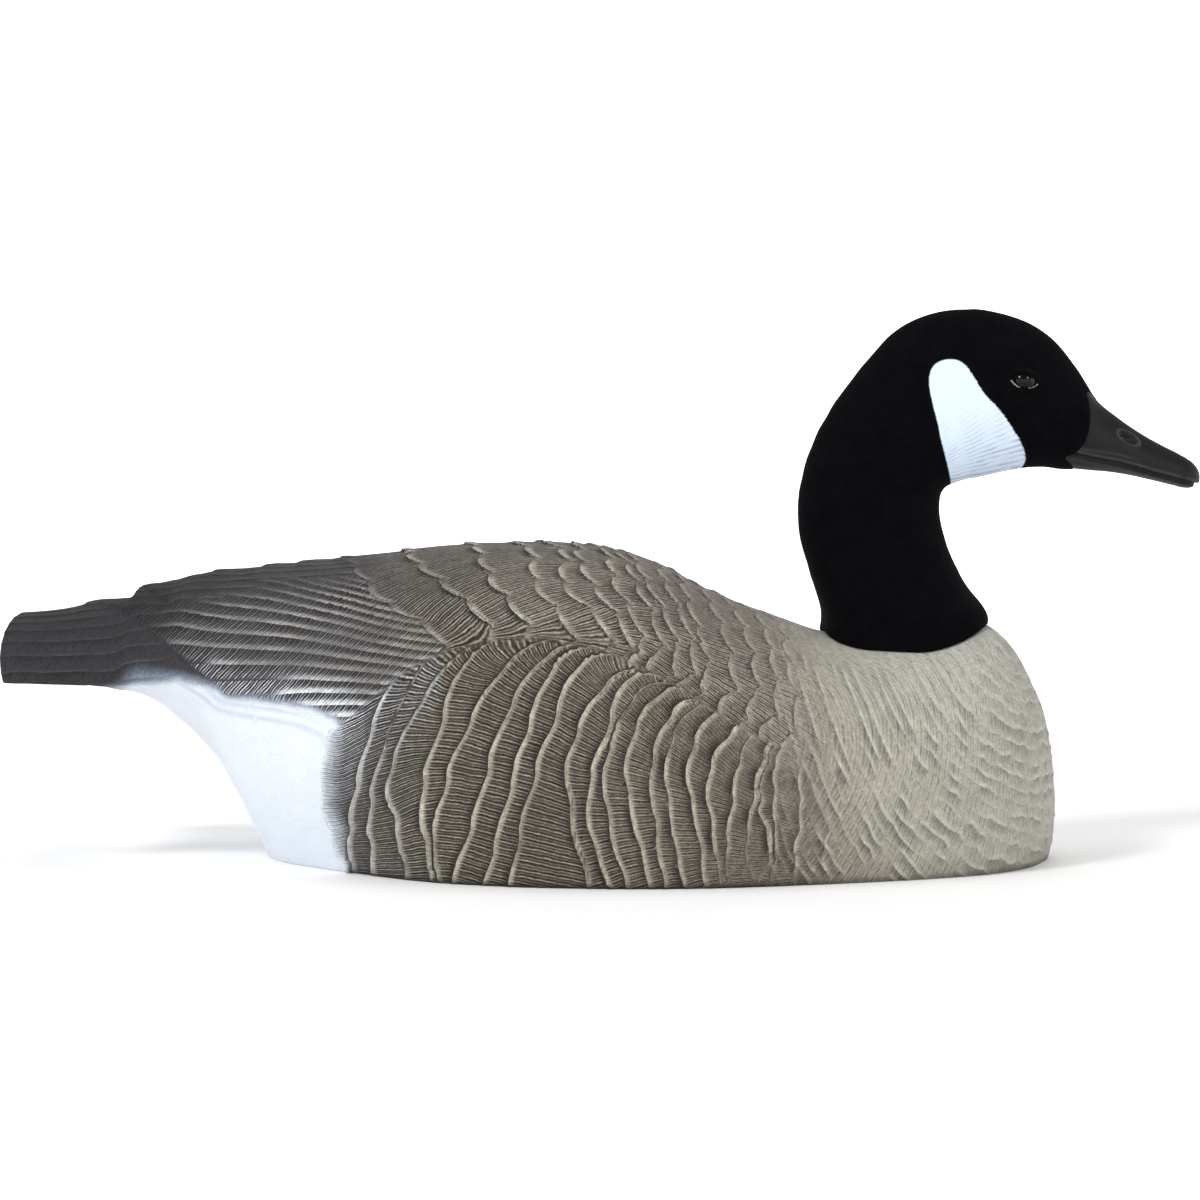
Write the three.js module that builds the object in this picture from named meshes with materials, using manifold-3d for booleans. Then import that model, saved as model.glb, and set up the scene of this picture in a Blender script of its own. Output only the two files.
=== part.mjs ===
// Goose decoy: a life-size shell decoy of a Canada goose, resting.
// The body is one thin moulded shell, open underneath, and it stands on its rim.
// The head and neck are one moulding: it sits on the shell, and its spigot plugs into an oval hole.
// Two eyes are set into sockets in the head.
// Millimetres, +Z up, +X towards the bill. The rim stands on Z = 0, and Y = 0 is the middle plane.

import * as THREE from "three";
import { mergeVertices } from "three/addons/utils/BufferGeometryUtils.js";
import Module from "manifold-3d";

// Driving sizes of the body shell
const BODY_LENGTH = 571; // from the tail tip to the breast
const BODY_HEIGHT = 174; // from the rim to the top of the back
const BODY_WIDTH = 268; // across the flanks
const WALL = 3; // thickness of the moulded shell
const TAIL_SIDE = 5; // thickness along the sides of the tail

// Driving sizes of the carving
const WING_DEPTH = 2.2; // how far a wing feather's edge stands over the next one
const FLANK_DEPTH = 2.4;
const BREAST_DEPTH = 1.3;
const POCKET_STEP = 2.2; // how far the flank feathers stand over the wing and the rump
const FLANK_ROW = 13.4; // from one flank feather's edge to the next
const BREAST_ROW = 11;

// Places along the body, from the tail tip, as shares of its length
const TAIL_SOLID = 0.088 * BODY_LENGTH; // the tail is solid up to here and hollow in front
const POCKET_START = 0.317 * BODY_LENGTH; // rear edge of the flank feathers
const WING_START_FADE = 0.394 * BODY_LENGTH; // the long wing feathers end under the shoulder's...
const WING_END_FADE = 0.525 * BODY_LENGTH; // ...and none are left here
const BREAST_START = 0.764 * BODY_LENGTH; // the flank rows give way to the smaller breast rows
const NECK_AT = 0.853 * BODY_LENGTH; // middle of the neck
const FRONT_START = 0.956 * BODY_LENGTH; // the rows begin to close round the front of the breast

// Driving sizes of the head and neck
const HEAD_HEIGHT = 180; // from the seat on the body to the crown
const SPIGOT_LENGTH = 60;
const SPIGOT_WIDTH = 48;
const SPIGOT_DROP = 26; // how far the spigot reaches below the seat
const SPIGOT_ROOT = 12; // how far the spigot runs up inside the neck
const SPIGOT_PLAY = 0.8; // between the spigot and the hole, all round
const NECK_CLEAR = 13; // width of the ground round the foot of the neck on which the carving fades out
const SEAT_GAP = 0.3; // between the neck and the shell

// Driving sizes of the eyes and the bill's details
const EYE_DIAMETER = 14;
const EYE_STAND_OUT = 2.6; // how far the eye's front stands out of the head
const EYE_GAP = 0.3; // between the eye and its socket
const MOUTH_DEPTH = 0.9;
const NOSTRIL_LENGTH = 9;
const NOSTRIL_HEIGHT = 3.2;
const NOSTRIL_DEPTH = 1.6;

// Facets
const REAR_COLUMNS = 16; // between the tail tip and the flank feathers
const FRONT_ROWS = 4;
const WING_ROWS = 5; // rows of wing feathers on each side, each with an edge and a groove
const FLANK_BANDS = 5; // from the wing's lower line to the rim
const HOLLOW_REAR_RINGS = 13;
const HOLLOW_MIDDLE_RINGS = 10;
const HOLLOW_FRONT_RINGS = 5;
const HOLLOW_ANGLES = [0, 20, 39, 57, 74, 90, 108, 132, 156, 180]; // from the back to the belly
const BELOW_RIM = 8; // how far the cut for the hollow runs on below the rim
const HEAD_RINGS = 34;

// Lines of the body: place from the tail tip in per cent of the length, then a height in per cent of
// the body's height or a half width in per cent of half the body's width.
const BACK_LINE = [
  [0, 77.4], [3.9, 78.5], [7.9, 81.3], [11.2, 83.6], [12.1, 85.8], [15.1, 87], [17.5, 90.1],
  [21.4, 91.4], [27, 93.4], [34.9, 96.3], [42.6, 99.2], [50.3, 100], [54.3, 99.4], [58, 97.3],
  [62, 92.9], [65.8, 86.2], [69.7, 80.5], [73.6, 75.9], [77.6, 71.6], [81.4, 70], [85.8, 70.1],
  [90.2, 72.4], [93, 74], [94.7, 70.7], [96.2, 64.9], [97.5, 56.7], [98.7, 47.8], [99.4, 37],
  [99.7, 27.5], [100, 17.8],
];
const PLAN_LINE = [
  [0, 36.6], [1.8, 38.8], [7.9, 41], [14, 45.5], [20.7, 53.7], [26.3, 61.2], [32, 71.6],
  [39.8, 85.1], [45.5, 92.5], [52.5, 98.1], [58.7, 100], [65, 98.5], [70.4, 94], [77.8, 85.1],
  [85.3, 74], [91.1, 62.5], [95.4, 47.4], [97.4, 36.2], [98.4, 27.8], [99.2, 19], [99.74, 10.8], [100, 0],
];
const WIDEST_LINE = [
  [0, 58], [7.9, 58], [14, 59.8], [20.7, 55.7], [26.3, 51.1], [32, 44.8], [36.4, 39.1],
  [40.1, 34.5], [44.5, 30.5], [50.8, 26.4], [60.6, 23.6], [82.3, 23.6], [91.1, 24.1],
  [96.3, 21.8], [100, 17.8],
];
// Below 0 the line runs under the rim, which cuts the shell off there.
const BELLY_LINE = [
  [0, 69], [4.4, 62.1], [7.9, 56.3], [9.8, 53.7], [11.7, 52.3], [13.7, 49.1], [15.4, 44.3],
  [17.5, 37.6], [19.4, 30.6], [20.8, 22.1], [22.2, 13.1], [24.1, 0], [26.3, -13.8],
  [28.9, -26.4], [32.4, -39.1], [36.8, -49.4], [43.8, -58.6], [59.7, -64.4], [73.6, -59.8],
  [82.3, -52.9], [91.1, -41], [95.4, -24.5], [98.1, -7.5], [99.4, 0], [100, 17.8],
];
// The wing's lower line and the upper edge of the flank feathers, as an angle round the section:
// 0 at the back, 90 at the widest line.
const WING_LINE = [
  [0, 90], [10.5, 88], [15.2, 76], [18.2, 86], [20.7, 92], [26.3, 91], [32, 89], [34.3, 82],
  [36.4, 74], [40.1, 63], [44.5, 56.5], [50.8, 53], [58, 56], [64.1, 62], [68.7, 68.5],
  [72.2, 73], [76.7, 84], [82.3, 93], [91.1, 95], [100, 95],
];
// How the section's lower half is drawn: the powers that turn an ellipse (1, 1) into the keel of
// the rump and into the hollow underside of the tail.
const LOWER_OUT = [[0, 1], [8, 1.1], [18, 1.6], [28, 1.6], [42, 1.1], [50, 1], [100, 1]];
const LOWER_DOWN = [[0, 2], [8, 1.9], [18, 1.6], [28, 1.6], [42, 1.1], [50, 1], [100, 1]];
const UPPER_POWER = 0.94;

// Lines of the head and neck, ring by ring from the foot of the neck to the bill's tip, in per cent
// of the head's height, measured from the seat: nape or crown (along, up), throat or jaw
// (along, up), half width, and how far the widest place lies towards the jaw.
const HEAD_LINE = [
  [-24.2, -7.8, 26.4, -5.6, 25, 0], [-24.5, 1.1, 26.2, 3.3, 24.7, 0],
  [-24.5, 7.9, 25.2, 8.2, 23.6, 0], [-27.8, 18.3, 18.3, 17.5, 20.8, 0],
  [-31.4, 31.1, 12.5, 31.1, 18.4, 0], [-31.7, 43.3, 11.2, 40.6, 17.3, 0],
  [-28.3, 56.8, 12.5, 45, 16.8, 0.05], [-22.2, 69.1, 16.1, 47, 16.7, 0.1],
  [-13.4, 81.2, 21.4, 48.3, 16.9, 0.14], [-2.8, 92.8, 26.9, 49.4, 17.2, 0.18],
  [8.2, 98.3, 32.5, 50.6, 17.3, 0.2], [20.4, 99.8, 37.5, 51.4, 16.8, 0.22],
  [32.6, 97.8, 42.8, 51.7, 15.6, 0.22], [44.2, 91.9, 48.1, 51.1, 13.4, 0.2],
  [52.8, 81.9, 53.1, 51, 10.9, 0.18], [58.9, 72.5, 58.3, 50.6, 9.3, 0.2],
  [65.3, 67, 63.9, 50.1, 8.6, 0.22], [72.6, 62, 70, 49.1, 7.9, 0.22],
  [79.2, 58.3, 76.9, 47.6, 7.3, 0.2], [85, 55.3, 83.3, 46.1, 6.4, 0.15],
  [88.9, 51.9, 88.3, 45.6, 4.6, 0],
];
const BILL_TIP = [90.7, 48.1];
const EYE_PLACE = [34.7, 77.2];
const NOSTRIL_PLACE = [68.4, 59.6];
const BILL_START = 13.6; // the ring, counted from the foot of the neck, where the bill begins
const RING_ANGLES = [0, 18, 36, 54, 72, 90, 108, 121, 130, 139, 152, 166, 180];
const MOUTH_ANGLE = 130;

// A smooth line through points set by hand, which never swings past them.
function smoothLine(points, column = 1, stretch = (x) => x) {
  const x = points.map((point) => stretch(point[0]));
  const y = points.map((point) => point[column]);
  const slope = x.slice(1).map((next, i) => (y[i + 1] - y[i]) / (next - x[i]));
  const tangent = x.map((_, i) => {
    if (i === 0) return slope[0];
    if (i === slope.length) return slope[i - 1];
    const product = slope[i - 1] * slope[i];
    return product > 0 ? (2 * product) / (slope[i - 1] + slope[i]) : 0;
  });
  return (place) => {
    const at = THREE.MathUtils.clamp(stretch(place), x[0], x[x.length - 1]);
    let i = 0;
    while (i < slope.length - 1 && at > x[i + 1]) i++;
    const width = x[i + 1] - x[i];
    const t = (at - x[i]) / width;
    const rise = y[i + 1] - y[i];
    const bendIn = tangent[i] * width - rise;
    const bendOut = rise - tangent[i + 1] * width;
    return y[i] + rise * t + t * (1 - t) * (bendIn * (1 - t) + bendOut * t);
  };
}

// The breast is round, so its lines are drawn against the root of the distance from its front.
const towardsBreast = (percent) => -Math.sqrt(Math.max(0, 1 - percent / 100));
const bodyLine = (points) => smoothLine(points, 1, towardsBreast);
const backLine = bodyLine(BACK_LINE);
const planLine = bodyLine(PLAN_LINE);
const widestLine = bodyLine(WIDEST_LINE);
const bellyLine = bodyLine(BELLY_LINE);
const wingLine = smoothLine(WING_LINE);
const lowerOut = smoothLine(LOWER_OUT);
const lowerDown = smoothLine(LOWER_DOWN);

const { smoothstep, clamp, degToRad } = THREE.MathUtils;
const percentAlong = (along) => (100 * along) / BODY_LENGTH;
const fade = (along, from, to) => 1 - smoothstep(along, from, to);

// The sizes of the body's section at one place along it.
function bodySection(along) {
  const percent = percentAlong(along);
  const side = TAIL_SIDE * fade(percent, 5, 20);
  return {
    side,
    top: (backLine(percent) * BODY_HEIGHT) / 100,
    half: (planLine(percent) * BODY_WIDTH) / 200,
    widest: (widestLine(percent) * BODY_HEIGHT) / 100,
    bottom: (bellyLine(percent) * BODY_HEIGHT) / 100,
    out: lowerOut(percent),
    down: lowerDown(percent),
  };
}

// A point of the smooth body: angle 0 is the back, 90 degrees the widest line, 180 the belly.
function bodyPoint(along, angle) {
  const { side, top, half, widest, bottom, out, down } = bodySection(along);
  const sine = Math.max(0, Math.sin(angle));
  const cosine = Math.cos(angle);
  const edge = (side / 2) * clamp(6 * cosine, -1, 1);
  const upper = cosine >= 0;
  const y = half * sine ** (upper ? UPPER_POWER : out);
  const reach = upper ? top - widest - side / 2 : bottom - widest + side / 2;
  const z = widest + edge + reach * Math.abs(cosine) ** (upper ? UPPER_POWER : down);
  return new THREE.Vector3(along, y, z);
}

// The angle at which the section passes a height below its widest line.
function angleAtHeight(along, height) {
  const { side, widest, bottom, down } = bodySection(along);
  const start = widest - side / 2;
  const share = clamp((start - height) / (start - bottom), 0, 1);
  return bottom < height ? Math.PI - Math.acos(share ** (1 / down)) : Math.PI;
}

// The direction that faces out of the smooth body.
function bodyNormal(along, angle) {
  const stepAlong = 0.4;
  const stepRound = 0.01;
  const front = Math.min(along + stepAlong, BODY_LENGTH);
  const rear = Math.max(along - stepAlong, 0);
  const low = Math.min(angle + stepRound, Math.PI);
  const high = Math.max(angle - stepRound, 0);
  const lengthwise = bodyPoint(front, angle).sub(bodyPoint(rear, angle));
  const round = bodyPoint(along, low).sub(bodyPoint(along, high));
  const normal = lengthwise.cross(round);
  if (angle <= 0 || angle >= Math.PI) normal.y = 0;
  if (normal.lengthSq() === 0 || along >= BODY_LENGTH) normal.set(1, 0, 0);
  return normal.normalize();
}

// The columns of facets run round the body. Each feather row has a column for its edge, which
// stands proud, and one for the groove in front of the next edge.
const GROOVE_AT = 0.72; // share of a row from a feather's edge to the groove
function feathers(from, to, pitch) {
  const rows = Math.max(1, Math.round((to - from) / pitch));
  const step = (to - from) / rows;
  return Array.from({ length: rows }, (_, i) => from + i * step).flatMap((edge) => [
    { along: edge, crest: 1 },
    { along: edge + GROOVE_AT * step, crest: 0 },
  ]);
}
function rearColumns() {
  const step = (POCKET_START - FLANK_ROW * (1 - GROOVE_AT)) / REAR_COLUMNS;
  return Array.from({ length: REAR_COLUMNS + 1 }, (_, i) => ({ along: i * step, crest: 0 }));
}
function frontColumns() {
  const start = towardsBreast(percentAlong(FRONT_START));
  return feathers(start, 0, -start / FRONT_ROWS).map(({ along, crest }) => ({
    along: BODY_LENGTH * (1 - along * along),
    crest,
  }));
}
const COLUMNS = [
  ...rearColumns(),
  ...feathers(POCKET_START, BREAST_START, FLANK_ROW),
  ...feathers(BREAST_START, FRONT_START, BREAST_ROW),
  ...frontColumns(),
];

// The bands of facets run along the body, on each side from the back to the rim. The wing's
// feathers lie along them, and a close pair of bands draws the wing's lower line.
const LINE_STEP = 0.035; // half the width of that step, as a share of the way down the wing
const wingBands = Array.from({ length: WING_ROWS }, (_, i) => i).flatMap((i) => [
  { down: i / WING_ROWS, crest: 0, line: 0 },
  { down: (i + GROOVE_AT) / WING_ROWS, crest: 1, line: 0 },
]);
const BANDS = [
  ...wingBands,
  { down: 1 - LINE_STEP, crest: 0, line: 1 },
  { down: 1 + LINE_STEP, crest: 0, line: -1 },
  ...Array.from({ length: FLANK_BANDS }, (_, i) => ({
    down: 1 + (i + 1) / FLANK_BANDS,
    crest: 0,
    line: 0,
  })),
];

// Rows of feathers lean: the flank's are hollow towards the breast, the breast's run down and
// forward. The first number counts from the back (0) over the wing's lower line (1) to the rim (2).
// The second is how far forward the row lies there, in per cent of the body's length.
const flankLean = smoothLine([[0, -1], [0.5, 1.8], [1, 7.4], [1.3, 2.5], [1.65, -0.2], [2, 2.1]]);
const breastLean = smoothLine([[0, -1], [0.5, -2.5], [1, -0.7], [1.5, 1.4], [2, 2.5]]);
const LEAN_RUN = 0.158 * BODY_LENGTH; // length over which the lean of the flank's rows builds up
const BREAST_BLEND = 0.088 * BODY_LENGTH; // length over which the flank's lean becomes the breast's
const ROUND_START = (FRONT_START + 2 * BODY_LENGTH) / 3; // the last rows, which hardly lean
function columnAlong(along, down) {
  const flankStart = POCKET_START - LEAN_RUN / 3;
  const building = smoothstep(along, flankStart, flankStart + LEAN_RUN);
  const flank = building * fade(along, BREAST_START - LEAN_RUN, BREAST_START + BREAST_BLEND);
  const becoming = smoothstep(along, BREAST_START - BREAST_BLEND, BREAST_START + BREAST_BLEND / 2);
  const breast = becoming * fade(along, FRONT_START - BREAST_BLEND, ROUND_START);
  return along + ((flank * flankLean(down) + breast * breastLean(down)) * BODY_LENGTH) / 100;
}

// How far the carving stands out of the smooth body at one corner of the facets. Along the wing's
// lower line the wing stands over the rump, further forward the flank stands over the wing.
const BELOW_SKIN = 0.3; // share of a feather's step that is cut below the smooth body
const LINE_GROOVE = 0.5; // depth of the groove along the wing's lower line
const SMOOTH_BACK = 0.2; // share of the way down the wing on which the small rows fade in
// By place along the body in per cent: 1 where the wing stands over, -1 where the flank does.
const lineHeight = smoothLine([[12, 0], [16, 1], [29, 1], [32.5, -1], [66, -1], [77, 0]]);
function carving(column, band, along, index) {
  const { down, crest: bandCrest, line } = band;
  const onWing = down < 1 ? fade(along, WING_START_FADE, WING_END_FADE) : 0;
  const pastFlank = smoothstep(along, BREAST_START - BREAST_BLEND, BREAST_START + BREAST_BLEND / 3);
  const onFlank = down > 1 && column.along >= POCKET_START ? 1 - pastFlank : 0;
  const onBreast = pastFlank * fade(along, ROUND_START, BODY_LENGTH);
  const onShoulder = down < 1 ? (1 - onWing) * (1 - pastFlank) : 0;
  const scale = (column.crest + Math.floor(index / 2)) % 2;
  const aside = smoothstep(down, 0, SMOOTH_BACK);
  const step = line * lineHeight(percentAlong(along));
  let height = POCKET_STEP * Math.max(step, 0) - LINE_GROOVE * Math.abs(Math.min(step, 0));
  height += onWing * (line ? 0 : 1) * WING_DEPTH * (bandCrest - BELOW_SKIN);
  height += onFlank * FLANK_DEPTH * (column.crest - BELOW_SKIN);
  height += onBreast * aside * BREAST_DEPTH * (column.crest - BELOW_SKIN);
  height += onShoulder * aside * (line ? 0 : 1) * WING_DEPTH * (scale - BELOW_SKIN);
  return height;
}

// The carving fades out round the foot of the neck, which sits on smooth ground.
const SEAT_HEIGHT = (backLine(percentAlong(NECK_AT)) * BODY_HEIGHT) / 100;
const NECK_FOOT = (HEAD_HEIGHT * HEAD_LINE[0][4]) / 100;
function clearOfNeck(point) {
  if (point.z < SEAT_HEIGHT / 2) return 1;
  const away = Math.hypot(point.x - NECK_AT, point.y);
  return smoothstep(away, NECK_FOOT + 2, NECK_FOOT + 2 + NECK_CLEAR);
}

// One ring of the body's outside: down one side, under, and up the other. The rim is at Z = 0.
function bodyRing(column, growth) {
  const side = BANDS.map((band, index) => {
    const along = clamp(columnAlong(column.along, band.down), 0, BODY_LENGTH);
    const line = degToRad(wingLine(percentAlong(along)));
    const rim = angleAtHeight(along, 0);
    const angle = band.down <= 1 ? line * band.down : line + (rim - line) * (band.down - 1);
    const point = bodyPoint(along, angle);
    const normal = bodyNormal(along, angle);
    const height = carving(column, band, along, index) * clearOfNeck(point);
    const lowest = index === BANDS.length - 1 && rim < Math.PI;
    if (lowest) normal.setZ(0).normalize();
    point.addScaledVector(normal, (lowest ? Math.max(0, height) : height) + growth);
    if (column.along === 0) point.x = -growth;
    if (lowest) point.z = 0;
    return point;
  });
  side[0].y = 0;
  const last = side[side.length - 1];
  if (last.z > 0 || last.y < 0) last.y = 0;
  const under = new THREE.Vector3(last.x, 0, last.z);
  return closeRing(side, under);
}

// The other side is the mirror image, so a ring is drawn once.
function closeRing(side, under) {
  const mirror = side.slice(1).reverse().map((p) => new THREE.Vector3(p.x, -p.y, p.z));
  return [...side, under, ...mirror];
}

// Skins a row of rings and closes both ends.
const MERGE = 1e-3; // corners closer than this are one
function skin(rings) {
  const count = rings[0].length;
  const positions = rings.flat().flatMap((p) => [p.x, p.y, p.z]);
  const faces = [];
  for (let r = 0; r + 1 < rings.length; r++)
    for (let i = 0; i < count; i++) {
      const a = r * count + i;
      const b = r * count + ((i + 1) % count);
      faces.push(a, b + count, b, a, a + count, b + count);
    }
  const end = (ring, start, turned) => {
    const corners = ring.map((_, i) => i);
    const distinct = corners.filter((i) => ring[i].distanceTo(ring[(i + 1) % count]) > MERGE);
    if (distinct.length < 3) return;
    const flat = distinct.map((i) => endPlane(ring[i], ring[0]));
    const ringTurn = Math.sign(THREE.ShapeUtils.area(flat));
    for (const face of THREE.ShapeUtils.triangulateShape(flat, [])) {
      const faceTurn = Math.sign(THREE.ShapeUtils.area(face.map((k) => flat[k])));
      const order = (faceTurn === ringTurn) === turned ? [...face].reverse() : face;
      faces.push(...order.map((k) => distinct[k] + start));
    }
  };
  end(rings[0], 0, false);
  end(rings[rings.length - 1], (rings.length - 1) * count, true);
  return closedGeometry(positions, faces);
}

// An end is a cross-section or, at the foot of the neck, a plan: it is flattened the way it faces.
function endPlane(point, first) {
  return new THREE.Vector2(point.y, point.z + (point.x - first.x));
}

// A closed surface whose corners are shared and whose flat slivers are gone.
function closedGeometry(positions, faces) {
  const raw = new THREE.BufferGeometry();
  raw.setAttribute("position", new THREE.Float32BufferAttribute(positions, 3));
  raw.setIndex(faces);
  const merged = mergeVertices(raw, MERGE);
  const kept = [];
  for (let i = 0; i < merged.index.count; i += 3) {
    const [a, b, c] = [0, 1, 2].map((k) => merged.index.getX(i + k));
    if (a !== b && b !== c && a !== c) kept.push(a, b, c);
  }
  merged.setIndex(kept);
  return merged;
}

const wasm = await Module();
wasm.setup();

function solid(geometry) {
  const bare = geometry.clone();
  bare.deleteAttribute("normal");
  bare.deleteAttribute("uv");
  const merged = mergeVertices(bare, MERGE / 10);
  return new wasm.Manifold(
    new wasm.Mesh({
      numProp: 3,
      vertProperties: merged.attributes.position.array,
      triVerts: new Uint32Array(merged.index.array),
    }),
  );
}

function geometryOf(manifold) {
  const { numProp, vertProperties, triVerts } = manifold.getMesh();
  const positions = [];
  for (let i = 0; i < vertProperties.length; i += numProp)
    positions.push(vertProperties[i], vertProperties[i + 1], vertProperties[i + 2]);
  const geometry = new THREE.BufferGeometry();
  geometry.setAttribute("position", new THREE.Float32BufferAttribute(positions, 3));
  geometry.setIndex(Array.from(triVerts));
  const flat = geometry.toNonIndexed();
  flat.computeVertexNormals();
  return flat;
}

// The body's outside, filled down to the rim, and grown for the seat that the neck is cut to.
function bodyOutside(growth = 0) {
  return solid(skin([...COLUMNS, { along: BODY_LENGTH, crest: 0 }].map((c) => bodyRing(c, growth))));
}

// Even steps down the rump and along the belly, then closer ones round the breast.
function hollowPlaces() {
  const even = (from, to, steps) =>
    Array.from({ length: steps }, (_, i) => from + ((to - from) * i) / steps);
  const root = towardsBreast(percentAlong(FRONT_START));
  const round = even(root, 0, HOLLOW_FRONT_RINGS).map((r) => BODY_LENGTH * (1 - r * r));
  return [
    ...even(TAIL_SOLID, POCKET_START, HOLLOW_REAR_RINGS),
    ...even(POCKET_START, FRONT_START, HOLLOW_MIDDLE_RINGS),
    ...round,
    BODY_LENGTH,
  ];
}

// The hollow runs on below the rim, so that cutting it out leaves the shell open underneath.
function hollow() {
  const rings = hollowPlaces().map((along) => {
    const last = angleAtHeight(along, -BELOW_RIM);
    const side = HOLLOW_ANGLES.map((degrees) => {
      const lower = (last - Math.PI / 2) * (degrees / 90 - 1);
      const angle = degrees <= 90 ? degToRad(degrees) : Math.PI / 2 + lower;
      const point = bodyPoint(along, angle).addScaledVector(bodyNormal(along, angle), -WALL);
      const middle = degrees === 0 || angle >= Math.PI;
      point.y = middle ? 0 : Math.max(0, point.y);
      return point;
    });
    const foot = side[side.length - 1];
    return closeRing(side, new THREE.Vector3(foot.x, 0, foot.z));
  });
  return solid(skin(rings));
}

// An upright oval bar, from a lowest to a highest level.
function ovalBar(length, width, low, high) {
  const outline = new THREE.Shape().absellipse(0, 0, length / 2, width / 2, 0, 2 * Math.PI);
  const bar = new THREE.ExtrudeGeometry(outline, {
    depth: high - low,
    bevelEnabled: false,
    curveSegments: 10,
  });
  return bar.translate(0, 0, low);
}

function bodyShell() {
  const hole = ovalBar(
    SPIGOT_LENGTH + 2 * SPIGOT_PLAY,
    SPIGOT_WIDTH + 2 * SPIGOT_PLAY,
    SEAT_HEIGHT / 2,
    SEAT_HEIGHT + 2 * WALL,
  ).translate(NECK_AT, 0, 0);
  return bodyOutside().subtract(hollow()).subtract(solid(hole));
}

// One ring of the head and neck, between its nape or crown and its throat or jaw.
const headLines = [0, 1, 2, 3, 4, 5].map((column) =>
  new THREE.SplineCurve(HEAD_LINE.map((row, i) => new THREE.Vector2(i, row[column]))),
);
const headShare = (percent) => (percent * HEAD_HEIGHT) / 100;
const BILL_RUN = 1.5; // rings over which the mouth line deepens
const SLIMMEST = 0.5; // least half width of a ring beside its middle line
function headRing(share) {
  const [backX, backZ, frontX, frontZ, half, low] = headLines.map((line) => line.getPoint(share).y);
  const back = new THREE.Vector3(headShare(backX), 0, headShare(backZ));
  const front = new THREE.Vector3(headShare(frontX), 0, headShare(frontZ));
  const middle = back.clone().add(front).divideScalar(2);
  const across = back.clone().sub(front).divideScalar(2);
  const width = headShare(half);
  const bill = smoothstep(share * (HEAD_LINE.length - 1), BILL_START, BILL_START + BILL_RUN);
  const side = RING_ANGLES.map((degrees) => {
    const angle = degToRad(degrees);
    const lips = degrees === MOUTH_ANGLE ? MOUTH_DEPTH * bill : 0;
    const out = width * Math.sin(angle) * (1 - low * Math.cos(angle)) - lips;
    const point = middle.clone().addScaledVector(across, Math.cos(angle));
    point.y = degrees % 180 === 0 ? 0 : Math.max(SLIMMEST, out);
    return point;
  });
  const mirror = side.slice(1, -1).reverse().map((p) => new THREE.Vector3(p.x, -p.y, p.z));
  return [...side, ...mirror];
}

function headForm() {
  const rings = Array.from({ length: HEAD_RINGS }, (_, i) => headRing(i / (HEAD_RINGS - 1)));
  const tip = new THREE.Vector3(headShare(BILL_TIP[0]), 0, headShare(BILL_TIP[1]));
  return skin([...rings, rings[0].map(() => tip.clone())]);
}

// The head's half width at a place on its side, found from the ring that passes there.
const FINE_RINGS = 400;
function headHalfWidth(x, z) {
  let best = { away: Infinity, out: 0 };
  for (let i = 0; i <= FINE_RINGS; i++) {
    const ring = headRing(i / FINE_RINGS).slice(1, RING_ANGLES.length - 1);
    for (let k = 0; k + 1 < ring.length; k++)
      for (let t = 0; t <= 1; t += 0.25) {
        const point = ring[k].clone().lerp(ring[k + 1], t);
        const away = Math.hypot(point.x - x, point.z - z);
        if (away < best.away) best = { away, out: point.y };
      }
  }
  return best.out;
}

function eyeBall(gap) {
  return new THREE.SphereGeometry(EYE_DIAMETER / 2 + gap, 12, 8).rotateX(Math.PI / 2);
}
const eyeX = headShare(EYE_PLACE[0]);
const eyeZ = headShare(EYE_PLACE[1]);
const eyeY = headHalfWidth(eyeX, eyeZ) + EYE_STAND_OUT - EYE_DIAMETER / 2;

function nostrils() {
  const x = headShare(NOSTRIL_PLACE[0]);
  const z = headShare(NOSTRIL_PLACE[1]);
  const out = headHalfWidth(x, z);
  const [behind, ahead] = HEAD_LINE.slice(16, 18); // the rows of the ridge over the nostril
  const slope = Math.atan2(ahead[1] - behind[1], ahead[0] - behind[0]);
  return [-1, 1].map((side) =>
    new THREE.SphereGeometry(1, 10, 6)
      .scale(NOSTRIL_LENGTH / 2, NOSTRIL_DEPTH, NOSTRIL_HEIGHT / 2)
      .rotateY(-slope)
      .translate(x, side * out, z),
  );
}

function headAndNeck() {
  const seat = bodyOutside(SEAT_GAP).translate([-NECK_AT, 0, -SEAT_HEIGHT]);
  const spigot = solid(ovalBar(SPIGOT_LENGTH, SPIGOT_WIDTH, -SPIGOT_DROP, SPIGOT_ROOT));
  let head = solid(headForm()).subtract(seat).add(spigot);
  for (const side of [-1, 1])
    head = head.subtract(solid(eyeBall(EYE_GAP).translate(eyeX, side * eyeY, eyeZ)));
  for (const nostril of nostrils()) head = head.subtract(solid(nostril));
  return head;
}

function piece(name, geometry, color, roughness) {
  const material = new THREE.MeshStandardMaterial({ color, roughness, metalness: 0 });
  const mesh = new THREE.Mesh(geometry, material);
  mesh.name = name;
  return mesh;
}

const goose = new THREE.Group();
goose.add(piece("body_shell", geometryOf(bodyShell()), 0x8d8371, 0.75));

const neckSeat = new THREE.Group();
neckSeat.position.set(NECK_AT, 0, SEAT_HEIGHT);
neckSeat.add(piece("head_and_neck", geometryOf(headAndNeck()), 0x0c0c0e, 0.95));
for (const [name, side] of [["eye_left", 1], ["eye_right", -1]]) {
  const eye = piece(name, eyeBall(0), 0x17100b, 0.08);
  eye.position.set(eyeX, side * eyeY, eyeZ);
  neckSeat.add(eye);
}
goose.add(neckSeat);

// The origin is under the middle of the whole decoy.
const box = new THREE.Box3().setFromObject(goose);
goose.position.x = -(box.min.x + box.max.x) / 2;

export default goose;
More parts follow.
